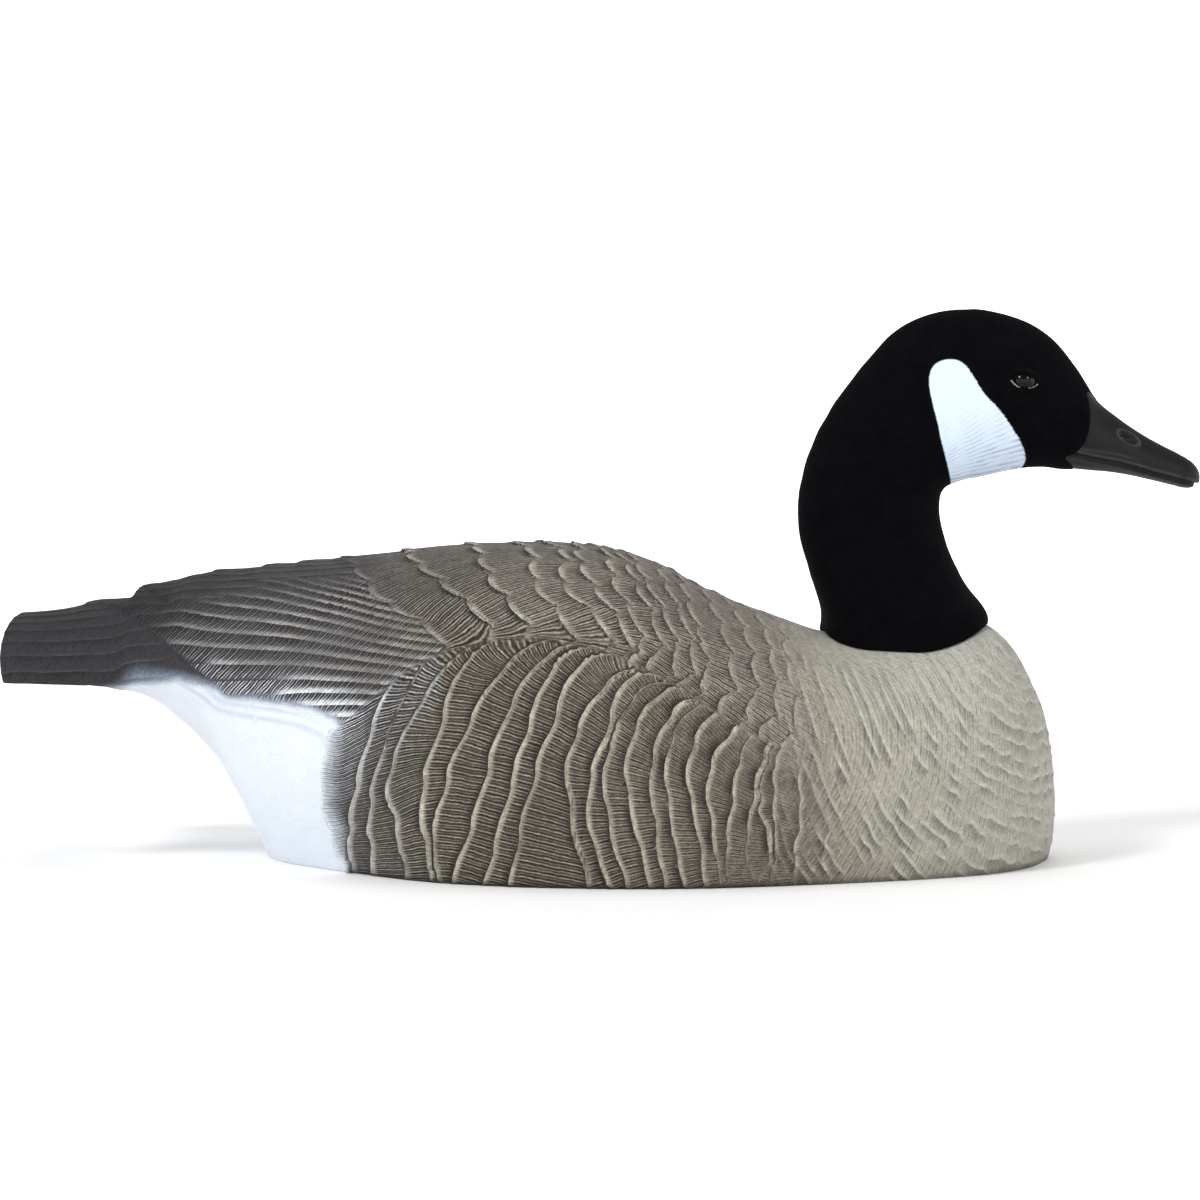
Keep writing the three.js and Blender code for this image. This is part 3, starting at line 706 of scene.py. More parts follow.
# Rows of the shoulder: how far along the body the row lies at each depth down from the back.
SHOULDER_DEPTHS = (30.0, 75.0, 118.0)
SHOULDER_ROWS = (
    (190, 207, 240), (222, 241, 265), (258, 266, 284), (283, 290, 308), (299, 304, 329),
    (312, 318, 336), (326, 329, 343), (335, 341, 352), (344, 350, 360), (357, 363, 371),
    (369, 374, 381), (381, 387, 391), (394, 399, 402), (406, 411, 414), (419, 423, 426),
)

# Feathers of the wing: the long ones fan out from the shoulder. Pitch by place along the body, and
# where each feather's tip lies, from the highest to the lowest.
WING_PITCH = ((0, 10.5), (60, 10), (107, 9.3), (143, 8.2), (178, 6.4), (230, 5.2), (400, 5))
WING_TIPS = (196, 176, 168, 152, 136, 135, 116, 101, 84, 80, 86, 113, 150)
WING_MIDDLE_ANGLE = 62.2  # the feather line that is numbered 0
WING_FIRST = -9  # number of the highest line

# Lines on the body as (along, depth down from the back)
WING_EDGE = (
    (36, -8), (49, 23), (62, 38), (74, 54), (89, 70), (96, 79), (107, 92), (118, 102), (124, 110),
    (138, 115), (154, 121), (170, 129), (184, 139), (196, 160),
)
UPPER_WING_EDGE = ((67, -8), (70, 8), (76, 22), (86, 38), (98, 54))
WHITE_EDGE = (
    (56, 240), (58, 112), (66, 99), (76, 94), (88, 94), (98, 97), (107, 101), (118, 107),
    (125, 113), (138, 117), (154, 123), (170, 131), (186, 143), (196, 180),
)

# Creases over the rump: how far outside the wing's edge each one lies, and how deep it is
CREASES = ((5.5, 0.7), (11, 0.55), (17, 0.35))

# Small steps in the line of the back: place and height
BACK_STEPS = ((38, 1.0), (108, 0.8), (136, 1.0), (155, 0.9))

# How far the carved back stands off the smooth one behind and in front of the highest wing tip
BACK_TRIM = (
    (45, 0), (55, -0.9), (64, -1.8), (67.2, -2.4), (68.3, 0.8), (75, 0.5), (86, 1.6), (93, 0.6),
    (100, -0.7), (108, 0),
)

# How deep each family of feathers is carved
CARVING_DEPTH = {
    Family.FLANK: 2.1,
    Family.SHOULDER: 2.0,
    Family.WING: 1.5,
    Family.TAIL: 0.55,
    Family.BREAST: 1.0,
}


@dataclass
class Plumage:
    """The carving and the paint of the body's outside, worked out at every point of a grid.

    Ranges are in millimetres along the body from the tail tip, or round it from the back.
    """

    along: Array  # place along the body, down each column of the grid
    down: Array  # 0 back, 1 the wing's lower line, 2 rim
    girth: Array  # millimetres round the body from the back
    points: Array
    middle_girth: Array  # girth at the wing's middle line, at each point's place along the body
    neck_place: float  # middle of the neck
    neck_half: float  # half the length of its foot
    pocket: Array = field(init=False)  # how far inside the flank's pocket a point lies
    wing_in: Array = field(init=False)  # how far inside the wing's edge it lies
    white_in: Array = field(init=False)  # how far inside the white area's edge it lies
    waver: Array = field(init=False)  # unevenness of the hand that sprays
    pale: Array = field(init=False)  # how far a point has turned to the breast's colour
    behind: Array = field(init=False)  # 1 behind the flank's pocket
    white: Array = field(init=False)  # how white a point is
    fields: dict[str, Array] = field(default_factory=dict)

    COUNT_FROM = 100  # rows are numbered from here in the mesh, so that no number is below zero
    POCKET_STEP = 2.2  # height of the pocket's edge over the wing
    WING_STEP = 1.9  # height of the wing's edge over the tail and the rump
    FLANK_GIRTH = 122.0  # girth from the pocket's edge to the rim, on the whole
    TAIL_PITCH = 9.0
    BREAST_CENTRE = (560.0, 170.0)
    BREAST_STEEPNESS = 2.2  # how much steeper the rows lie than circles round that centre
    BREAST_PITCH = 7.6
    BREAST_FEATHER = 17.0  # width of one feather
    BREAST_TIP = 1.9  # how far a feather's tip reaches

    def carve(self) -> Array:
        """Works out every family of feathers.

        Returns:
            How far the carving stands out of the smooth body at each point.
        """
        line = np.take_along_axis(self.girth, np.argmin(np.abs(self.down - 1), 1)[:, None], 1)
        below, room = self.girth - line, self.girth[:, -1:] - line
        flank = self._flank(np.clip(below / np.maximum(room, 1), 0, 1), room)
        shoulder, wing = self._shoulder(), self._wing()
        self.pocket = self._depth_in_pocket(flank, below)
        self.wing_in = -distance_to_line(self.along, self.girth, WING_EDGE)
        in_flank = smoothstep(self.pocket, -0.6, 0.6) * (self.down > 0.9)
        on_wing = smoothstep(self.wing_in, -0.5, 1.0) * (1 - in_flank)
        on_feathers = on_wing * (shoulder.count < 0)
        on_shoulder = (shoulder.count >= 0) * (1 - in_flank) * smoothstep(self.along, 450, 395)
        behind_wing = smoothstep(self.wing_in, 0, -1.5) * smoothstep(self.along, 100, 60)
        bare_top = 0.8 * on_feathers * smoothstep(wing.own, 0.3, 0) * (self.girth < 75)
        families = {
            Family.FLANK: (flank, in_flank * smoothstep(self.along, 455, 400)),
            Family.SHOULDER: (shoulder, on_shoulder),
            Family.WING: (wing, on_feathers),
            Family.TAIL: (self._tail(), np.maximum(behind_wing, bare_top)),
            Family.BREAST: (self._breast(), smoothstep(self.along, 385, 455)),
        }
        height = self._steps(in_flank, on_wing)
        for family, (rows, shown) in families.items():
            sunk = 0.25 * np.maximum(rows.own, rows.ahead)
            height += shown * CARVING_DEPTH[family] * (rows.relief() - sunk)
            barbs = shown * (1 + 0.9 * hump(self.wing_in - 6, 7) * (family is Family.WING))
            place = (rows.count + self.COUNT_FROM, rows.pitch, rows.along)
            self.fields[family.value] = np.stack(place, -1)
            self.fields[family.value + CUT] = np.stack(
                [rows.own * shown, rows.ahead * shown, barbs], -1
            )
        clear = smoothstep(self._from_neck(), 0, 14)
        return height * np.where(self.down < 1.3, clear, 1)

    @staticmethod
    def _depth_in_pocket(flank: RowPlace, below: Array) -> Array:
        """How far inside the pocket each point lies, from its first row or from its upper edge."""
        past_first = flank.count * flank.pitch
        inside = np.where(flank.count < 1, np.minimum(past_first, below), below)
        return np.where(flank.count < 0, past_first - 3, inside)

    def _flank(self, depth: Array, room: Array) -> RowPlace:
        """The flank's rows, hooked forward along the pocket's edge.

        Args:
            depth: How deep each point lies, from 0 at the pocket's edge to 1 at the rim.
            room: Girth from the pocket's edge to the rim, at each place along the body.

        Returns:
            The place of every point among the rows.
        """
        levels = np.linspace(0, 1, 120)
        hook, foot = SmoothLine(FLANK_HOOK)(levels), SmoothLine(FLANK_FOOT)(levels)
        edges, strength = [], []
        for middle, hooked, reaching, start, end in FLANK_ROWS:
            edges.append(middle + hooked * hook + reaching * foot)
            shown = smoothstep(levels, start - 0.04, start + 0.06)
            strength.append(shown * smoothstep(levels, end + 0.06, end - 0.04))
        rows = FeatherRows(
            levels, np.stack(edges), np.stack(strength), feather=31, bulge=1.5,
            level_mm=self.FLANK_GIRTH, corner=0.6, unevenness=6.0,
        )
        return rows.measure(self.along, depth, np.maximum(room, 20) + 0 * depth, seed=3)

    def _shoulder(self) -> RowPlace:
        """The shoulder's rows of broad feathers."""
        levels = np.linspace(0, 160, 120)
        edges = []
        for high, middle, low in SHOULDER_ROWS:
            given = zip(SHOULDER_DEPTHS, (high, middle, low))
            line = ((0, high - 7), *given, (140, low - 8), (160, low - 12))
            edges.append(SmoothLine(line)(levels))
        fading = np.linspace(1, 0.45, len(edges))[:, None] + 0 * levels
        rows = FeatherRows(
            levels, np.stack(edges), fading, feather=25, bulge=4.6, corner=0.08, slant=5.0,
            unevenness=4.0,
        )
        return rows.measure(self.along, self.girth, np.ones(self.along.shape), seed=11)

    def _wing(self) -> RowPlace:
        """The wing's long feathers, which lie along the body. Their rows are counted downwards."""
        pitch = SmoothLine(WING_PITCH)(self.along)
        uneven = 0.12 * hand_waver(self.along, self.girth, 30, 5)
        line = (self.girth - self.middle_girth) / pitch + uneven
        number = np.clip(np.round(line).astype(int) - WING_FIRST, 0, len(WING_TIPS) - 1)
        tips = np.array(WING_TIPS)[number]
        patchy = 0.7 + 0.4 * hand_waver(self.along, 4 * self.girth, 26, 8)
        shown = smoothstep(self.along, tips - 2, tips + 10) * smoothstep(self.girth, 2, 40)
        barbs = 0.64 * self.along + 0.77 * self.girth
        return RowPlace(-WING_FIRST - line, pitch, shown * patchy, shown * patchy, barbs)

    def _tail(self) -> RowPlace:
        """The tail's feathers, fine lines along it."""
        uneven = 0.1 * hand_waver(self.along, self.girth, 20, 6)
        line = (self.girth - 28 - 0.19 * self.along) / self.TAIL_PITCH + uneven
        patchy = 0.8 + 0.3 * hand_waver(self.along, self.girth, 18, 2)
        strength = patchy * smoothstep(self.girth, 1, 12)
        barbs = 0.7 * self.along + 0.72 * self.girth
        return RowPlace(20 - line, np.full(line.shape, self.TAIL_PITCH), strength, strength, barbs)

    def _breast(self) -> RowPlace:
        """The breast's small rows, arcs round a point above the breast bone."""
        x, y, z = np.moveaxis(self.points, -1, 0)
        out_x, out_z = x - self.BREAST_CENTRE[0], z - self.BREAST_CENTRE[1]
        reach = np.sqrt(self.BREAST_STEEPNESS * out_x**2 + out_z**2)
        closer = reach / np.hypot(self.BREAST_STEEPNESS * out_x, out_z)
        run = 95 * np.arctan2(-out_x, -out_z) + 0.9 * np.abs(y)
        uneven = 3.4 * hand_waver(run, reach, 30, 12) + hand_waver(run, reach, 9, 13)
        place = -reach - uneven
        rough = np.floor(place / self.BREAST_PITCH)
        shift = 0.6 * hand_waver(run, reach, 24, 14)
        edges = []
        for number in (rough - 1, rough, rough + 1, rough + 2):
            tip = np.abs(np.sin(math.pi * (run / self.BREAST_FEATHER + 0.5 * number + shift)))
            edges.append(number * self.BREAST_PITCH - self.BREAST_TIP * tip)
        low, high = place < edges[1], place >= edges[2]
        start = np.where(low, edges[0], np.where(high, edges[2], edges[1]))
        end = np.where(low, edges[1], np.where(high, edges[3], edges[2]))
        share = np.clip((place - start) / (end - start), 0, 0.9999)
        row = rough - low + high
        shown = 0.2 + 0.8 * smoothstep(self._from_neck(), 10, 66)
        own, ahead = (
            shown * smoothstep(hand_waver(1.9 * run + 37 * number, 11 * number, 13, 21), -0.3, 0.5)
            for number in (row, row + 1)
        )
        return RowPlace(row + share, (end - start) * closer, own, ahead, run)

    def _steps(self, in_flank: Array, on_wing: Array) -> Array:
        """The steps of the body's large parts over one another, and the folds beside them.

        Args:
            in_flank: 1 in the flank's pocket.
            on_wing: 1 on the wing.

        Returns:
            Their height at each point.
        """
        s, g, outside = self.along, self.girth, 1 - in_flank
        pocket_lip = hump(self.pocket - 0.8, 1.6) * (self.down > 0.9)
        pocket = in_flank * hump(self.pocket, 11) + 0.25 * pocket_lip
        height = self.POCKET_STEP * pocket * smoothstep(s, 445, 385)
        wing = on_wing * hump(self.wing_in, 16) * smoothstep(g, 3, 24)
        wing += 0.2 * hump(self.wing_in - 1, 1.8) * outside
        height += self.WING_STEP * wing * smoothstep(s, 40, 60) * smoothstep(s, 215, 185)
        creased = smoothstep(s, 58, 74) * smoothstep(s, 190, 150) * outside
        for away, deep in CREASES:
            height -= deep * hump(self.wing_in + away, 1.3) * creased
        inner = -distance_to_line(s, g, UPPER_WING_EDGE)
        inner_step = 0.9 * smoothstep(inner, -0.6, 0.8) * hump(inner, 9)
        inner_step -= 0.5 * hump(inner + 1.2, 1.2)
        near_top = smoothstep(g, 62, 44) * smoothstep(g, 1, 12)
        height += inner_step * near_top * smoothstep(s, 120, 90)
        trim = np.interp(s, *np.array(BACK_TRIM).T)
        for place, rise in BACK_STEPS:
            edge = smoothstep(s, place - 0.8, place + 0.8)
            trim += rise * edge * smoothstep(s, place + 18, place + 2)
        height += trim * smoothstep(g, 34, 12)
        on_rump = smoothstep(self.wing_in, -10, -22) * outside * smoothstep(s, 220, 190)
        return height + 0.35 * hand_waver(s * 0.6, g, 9, 31) * on_rump

    def _from_neck(self) -> Array:
        """Distance from the foot of the neck, in plan."""
        out_along = (self.along - self.neck_place) / self.neck_half
        out_side = self.points[..., 1] / (self.neck_half * 0.98)
        return (np.hypot(out_along, out_side) - 1) * self.neck_half

    def paint(self) -> None:
        """Works out the sprayed ground, the dry-brushed edges and painted shade, and how strongly each
        shows.
        """
        s, g, v = self.along, self.girth, self.down
        self.waver = hand_waver(s, g, 40, 41)
        fading_down, fading_up = 12 * smoothstep(v, 1, 1.6), 14 * smoothstep(g, 90, 20)
        self.pale = smoothstep(s + 14 * self.waver - fading_down + fading_up, 355, 470)
        self.white_in = distance_to_line(s, g, WHITE_EDGE)
        softened = self.white_in / (2.2 + 4 * smoothstep(s, 104, 70))
        self.behind = smoothstep(self.pocket, 12, -3) * (s < 225)
        self.white = smoothstep(softened + 0.4 * hand_waver(s, g, 6, 44), -1, 1) * self.behind
        self.fields["ground"] = self._ground(0.65 * smoothstep(softened, -3.0, 0) * self.behind)
        self.fields["edge_paint"] = self._edge_paint()
        self.fields["finish"] = self._finish()

    @staticmethod
    def _layered(first: Array, layers: Sequence[tuple[Paint, Array]]) -> Array:
        """Lays each paint over the colours before it, by the share that it covers at each point."""
        colour = first
        for paint, share in layers:
            colour = colour + (np.array(linear(paint.value)) - colour) * share[..., None]
        return colour

    def _ground(self, mist: Array) -> Array:
        """The sprayed colour: dark tail and wing, brown flank and shoulder, buff breast, white rump.

        Shade is painted onto the white in the rump's folds and towards its bottom.

        Args:
            mist: How far each point lies in the soft border of the white.

        Returns:
            The colour at each point.
        """
        s, g, v = self.along, self.girth, self.down
        on_shoulder = smoothstep(v, 1.0, 0.85) * smoothstep(g, 25, 70)
        # painted shade: the white turns blue-grey in the folds over the rump and towards its bottom
        folds = sum(hump(self.wing_in + away, 1.5) for away in (1.2, 5.5, 11))
        folds = folds * smoothstep(s, 50, 72) * smoothstep(s, 190, 165)
        low_rump_shade = 0.4 * smoothstep(self.points[..., 2], 70, 5)
        layers = (
            (Paint.SLATE, smoothstep(s + 0.25 * g, 95, 180)),
            (Paint.UMBER, smoothstep(s + 14 * self.waver, 170, 240)),
            (Paint.TAUPE, smoothstep(s + 12 * self.waver - 30 * smoothstep(v, 0.9, 1.2), 250, 350)),
            (Paint.HEATHER, smoothstep(s + 8 * self.waver, 240, 290) * on_shoulder),
            (Paint.SAND, self.pale),
            (Paint.PALE, 0.9 * smoothstep(self._from_neck(), 75, 5) * smoothstep(s, 420, 500)),
            (Paint.TAUPE, 0.45 * smoothstep(v, 1.5, 2.0) * smoothstep(s, 380, 430)),
            (Paint.MIST, mist),
            (Paint.SNOW, self.white),
            # painted shade in the folds and low on the rump
            (Paint.MIST, 0.45 * np.clip(folds + low_rump_shade, 0, 1) * self.white),
        )
        return self._layered(np.zeros((*s.shape, 3)) + linear(Paint.CHARCOAL.value), layers)

    def _edge_paint(self) -> Array:
        """Returns the colour at each point that is dry-brushed onto the feather edges."""
        s, g, v = self.along, self.girth, self.down
        on_shoulder = smoothstep(v, 1.0, 0.85) * smoothstep(s, 195, 250)
        near_white = smoothstep(self.white_in, -24, -3) * self.behind * smoothstep(s, 84, 112)
        pocket_rear = smoothstep(self.pocket, 42, 8) * (self.pocket > -4) * (s < 240) * (v > 0.95)
        layers = (
            (Paint.ASH, smoothstep(s + 0.3 * g, 80, 140)),
            (Paint.CREAM, smoothstep(s + 14 * self.waver, 190, 270)),
            (Paint.BONE, np.maximum(self.pale, 0.6 * on_shoulder)),
            (Paint.SNOW, np.maximum(self.white, 0.95 * near_white)),
            (Paint.SNOW, 0.6 * pocket_rear),
        )
        lit_slate = 1.5 * np.array(linear(Paint.SLATE.value))
        return self._layered(np.zeros((*s.shape, 3)) + lit_slate, layers)

    def _finish(self) -> Array:
        """Returns how light edges are, how dark the painted shade is, and the painted shadow at the
        rim's foot.
        """
        s, g, v = self.along, self.girth, self.down
        dark_top = 1 - 0.85 * smoothstep(g, 76, 36) * smoothstep(s, 212, 182)
        light = (0.45 + 0.4 * smoothstep(s, 60, 120)) * dark_top
        light = light - 0.15 * smoothstep(s, 300, 370) - 0.1 * self.pale
        low_wing = smoothstep(s, 100, 125) * (s < 200) * smoothstep(g, 84, 94)
        light = light + 0.8 * hump(self.white_in + 5, 9) * low_wing
        pocket_rear = smoothstep(s, 260, 215) * smoothstep(self.pocket, 0, 4) * (v > 0.9)
        light = light + 0.42 * pocket_rear
        # strength of the painted shade between barbs and in the grooves behind the edges
        deep = 0.75 + 0.25 * smoothstep(s, 150, 260) - 0.45 * self.pale
        # painted shadow along the foot of the rim
        rim = smoothstep(self.points[..., 2], 4, 0) * (v > 1.5)
        return np.stack([light, deep * (1 - 0.9 * self.white), rim], -1)


# Finishes


@dataclass(frozen=True)
class Brushing:
    """How a family of feathers takes the dry brush."""

    barbs: float  # how strongly its barbs show
    edge: float  # how wide its edges are painted, against the usual width
    frayed: float  # how far the barbs break up the painted edge


BRUSHING = {
    Family.FLANK: Brushing(1.05, 1.1, 0.1),
    Family.SHOULDER: Brushing(1.4, 1.7, 0.15),
    Family.WING: Brushing(0.9, 1.2, 0.5),
    Family.TAIL: Brushing(0.35, 0.5, 0.3),
    Family.BREAST: Brushing(0.6, 0.8, 0.2),
}


@dataclass(frozen=True)
class AirbrushedShell:
    """Blow-moulded polyethylene, airbrushed with matt acrylic.

    The carving is moulded in, so every ridge is soft; the paint is thin and dead matt, thicker on
    the ridges, where it was dry-brushed, and it breaks up into fine specks where a colour ends.
    Shade is painted in too: between the barbs, behind each feather's edge and along the rim's foot.
    """

    barb: float = 1.6  # from one barb to the next; the real ones, about 1 mm, would blur away
    edge_width: float = 2.2  # dry-brushed width on a feather's tip
    speck: float = 1.1  # the airbrush's specks, drawn coarser than the real ones so that they show
    grain: float = 2.6  # clusters of specks
    waver: float = 6.0  # length over which barbs bend and wear changes
    blotch: float = 14.0  # uneven cover of the spray
    strand: float = 0.62  # how far the dry brush colours a barb
    trough: float = 0.78  # how dark the painted shade between barbs is
    groove: float = 0.8  # how dark the painted shadow behind a feather's edge is
    roughness: float = 0.82

    def material(self) -> Material:
        """Makes the material."""
        material, tree = blank_material("airbrushed_polyethylene")
        noise = self._noises(tree)
        marks = [self._rows(tree, family, noise) for family in BRUSHING]
        edge, groove, comb = (self._total(tree, outputs) for outputs in zip(*marks))
        wear_and_highlight = add_node(tree, "MapRange", ranges(0.35, 0.65, 0.55, 1.2), {"Value": noise["waver"]})
        comb = add_node(tree, "Math", {"operation": "MULTIPLY"}, {0: comb, 1: wear_and_highlight[0]})
        colour = self._colour(tree, edge, groove, comb[0], noise)
        bump = self._bump(tree, edge, groove, comb[0], noise)
        matt = {"Roughness": self.roughness, "IOR": 1.46, "Specular IOR Level": 0.35}
        end_in_shader(tree, matt, {"Base Color": colour, "Normal": bump})
        return material

    def _noises(self, tree: Tree) -> dict[str, Socket]:
        """Adds the noises that several parts of the finish share, each named for its size."""
        place = add_node(tree, "TexCoord")["Object"]
        sizes = (self.speck, self.grain, self.waver, self.blotch)
        noises = {}
        for name, size in zip(("speck", "grain", "waver", "blotch"), sizes):
            noise = add_node(tree, "TexNoise", pattern(size, 3.0, 0.6), {"Vector": place})
            noises[name] = noise["Fac"]
        return noises

    @staticmethod
    def _total(tree: Tree, outputs: Sequence[Socket]) -> Socket:
        """Adds up one mark of all the families, each of which is 0 outside its own feathers."""
        total = outputs[0]
        for output in outputs[1:]:
            total = add_node(tree, "Math", {"operation": "ADD"}, {0: total, 1: output})[0]
        return total

    def _rows(
        self, tree: Tree, family: Family, noise: dict[str, Socket]
    ) -> tuple[Socket, Socket, Socket]:
        """Adds the edge, groove and barbs of one family of feathers.

        Args:
            tree: The material's nodes.
            family: The family.
            noise: The shared noises.

        Returns:
            Outputs that are 1 on the feathers' edges, in the grooves behind them, and on barbs.
        """
        brushing = BRUSHING[family]
        count, pitch, run = read_field(tree, family.value)
        own, ahead, barbed = read_field(tree, family.value + CUT)
        share = add_node(tree, "Math", {"operation": "FRACT"}, {0: count})[0]
        product = {"operation": "MULTIPLY"}
        front = add_node(tree, "Math", product, {0: share, 1: pitch})[0]
        back = add_node(tree, "Math", {"operation": "SUBTRACT"}, {0: pitch, 1: front})[0]
        wave = self._barbs(tree, run, noise["waver"])

        ragged = {"operation": "MULTIPLY_ADD", 1: 3.4, 2: -1.7}
        ragged = add_node(tree, "Math", ragged, {0: noise["speck"]})[0]
        uneven = add_node(tree, "Math", {"operation": "ADD"}, {0: front, 1: ragged})[0]
        soft = {"interpolation_type": "SMOOTHSTEP"}
        brushed = ranges(1.1 * brushing.edge, (self.edge_width + 1) * brushing.edge, 1, 0)
        brushed = add_node(tree, "MapRange", soft | brushed, {"Value": uneven})[0]
        edge = add_node(tree, "Math", product, {0: brushed, 1: own})[0]
        strokes = ranges(-0.5, 0.5, 1 - brushing.frayed, 1)
        strokes = add_node(tree, "MapRange", strokes, {"Value": wave})[0]
        edge = add_node(tree, "Math", product, {0: edge, 1: strokes})[0]

        dark = add_node(tree, "MapRange", soft | ranges(0.3, 5.5, 1, 0), {"Value": back})[0]
        groove = add_node(tree, "Math", product, {0: dark, 1: ahead})[0]

        off_edge = ranges(0.5, 3.0, 0, brushing.barbs)
        off_edge = add_node(tree, "MapRange", off_edge, {"Value": front})[0]
        shown = add_node(tree, "Math", product, {0: off_edge, 1: barbed})[0]
        comb = add_node(tree, "Math", product, {0: wave, 1: shown})[0]
        return edge, groove, comb

    def _barbs(self, tree: Tree, run: Socket, waver: Socket) -> Socket:
        """Adds the comb of barbs along a row: a wave, and a slower one that makes it uneven."""
        bent = add_node(tree, "Math", {"operation": "MULTIPLY_ADD", 1: 1.8}, {0: waver, 2: run})
        turns = {"operation": "MULTIPLY", 1: 2 * math.pi / self.barb}
        turns = add_node(tree, "Math", turns, {0: bent[0]})[0]
        wave = add_node(tree, "Math", {"operation": "SINE"}, {0: turns})[0]
        slow = add_node(tree, "Math", {"operation": "MULTIPLY", 1: 0.57}, {0: turns})[0]
        slow = add_node(tree, "Math", {"operation": "SINE"}, {0: slow})[0]
        slow = add_node(tree, "Math", {"operation": "MULTIPLY", 1: 0.45}, {0: slow})[0]
        mixed = {"operation": "MULTIPLY_ADD", 1: 0.75}
        return add_node(tree, "Math", mixed, {0: wave, 2: slow})[0]

    def _colour(
        self,
        tree: Tree,
        edge: Socket,
        groove: Socket,
        comb: Socket,
        noise: dict[str, Socket],
    ) -> Socket:
        """Adds the paint: the sprayed ground, painted shade between barbs, in grooves and at the rim's
        foot, cream on edges.

        Args:
            tree: The material's nodes.
            edge: 1 on the feathers' edges.
            groove: 1 in the grooves behind them.
            comb: Above 0 on the barbs and below 0 between them.
            noise: The shared noises.

        Returns:
            The colour's output.
        """
        colour = add_node(tree, "Attribute", {"attribute_name": "ground"})["Color"]
        edge_paint = add_node(tree, "Attribute", {"attribute_name": "edge_paint"})["Color"]
        # lightness of the dry-brushed edges, strength of the painted shade, and the painted shadow at
        # the rim's foot
        light, deep, rim = read_field(tree, "finish")
        strand, trough = ranges(0, 1, 0, self.strand), ranges(0, -1, 0, self.trough)
        strand = add_node(tree, "MapRange", strand, {"Value": comb})[0]
        trough = add_node(tree, "MapRange", trough, {"Value": comb})[0]
        groove = add_node(tree, "Math", {"operation": "MULTIPLY", 1: self.groove}, {0: groove})
        # painted shade: troughs between barbs, grooves behind the edges and the rim's foot are darkened
        # towards Paint.SHADE
        covers = (
            (strand, light, edge_paint),
            (trough, deep, None),
            (groove[0], deep, None),
            (edge, light, edge_paint),
            (rim, deep, None),
        )
        for amount, share, paint in covers:
            cover = add_node(tree, "Math", {"operation": "MULTIPLY"}, {0: amount, 1: share})
            links = {0: cover[0], 6: colour} | ({7: paint} if paint else {})
            shade = {} if paint else {7: rgba(Paint.SHADE.value)}
            colour = add_node(tree, "Mix", {"data_type": "RGBA"} | shade, links)[2]
        multiply = {"data_type": "RGBA", "blend_type": "MULTIPLY"}
        for name, spread in (("speck", 0.30), ("grain", 0.26), ("blotch", 0.14)):
            uneven = ranges(0.3, 0.7, 1 - spread, 1 + spread)
            uneven = add_node(tree, "MapRange", uneven, {"Value": noise[name]})[0]
            colour = add_node(tree, "Mix", multiply, {0: deep, 6: colour, 7: uneven})[2]
        return colour

    def _bump(
        self,
        tree: Tree,
        edge: Socket,
        groove: Socket,
        comb: Socket,
        noise: dict[str, Socket],
    ) -> Socket:
        """Adds the fine relief, in millimetres: edges, grooves, barbs and the grain of the paint.

        Args:
            tree: The material's nodes.
            edge: 1 on the feathers' edges.
            groove: 1 in the grooves behind them.
            comb: Above 0 on the barbs and below 0 between them.
            noise: The shared noises.

        Returns:
            The normal's output.
        """
        height = noise["speck"]
        for part, rise in ((edge, 0.35), (groove, -0.3), (comb, 0.5)):
            added = {"operation": "MULTIPLY_ADD", 1: rise}
            height = add_node(tree, "Math", added, {0: part, 2: height})[0]
        bump = {"Distance": MM, "Strength": 1.0}
        return add_node(tree, "Bump", bump, {"Height": height})[0]


@dataclass(frozen=True)
class BarePolyethylene:
    """The unpainted inside of the moulding: dull dark plastic with a faint orange peel."""

    colour: str = "#3F3A34"
    lighter: str = "#4A443D"
    roughness: float = 0.55
    peel: float = 6.0

    def material(self) -> Material:
        """Makes the material."""
        material, tree = blank_material("bare_polyethylene")
        place = add_node(tree, "TexCoord")["Object"]
        peel = add_node(tree, "TexNoise", pattern(self.peel, 2.0), {"Vector": place})["Fac"]
        tones = {"data_type": "RGBA", 6: rgba(self.colour), 7: rgba(self.lighter)}
        tone = add_node(tree, "Mix", tones, {0: peel})[2]
        bump = add_node(tree, "Bump", {"Distance": 0.2 * MM}, {"Height": peel})[0]
        dull = {"Roughness": self.roughness, "IOR": 1.51}
        end_in_shader(tree, dull, {"Base Color": tone, "Normal": bump})
        return material


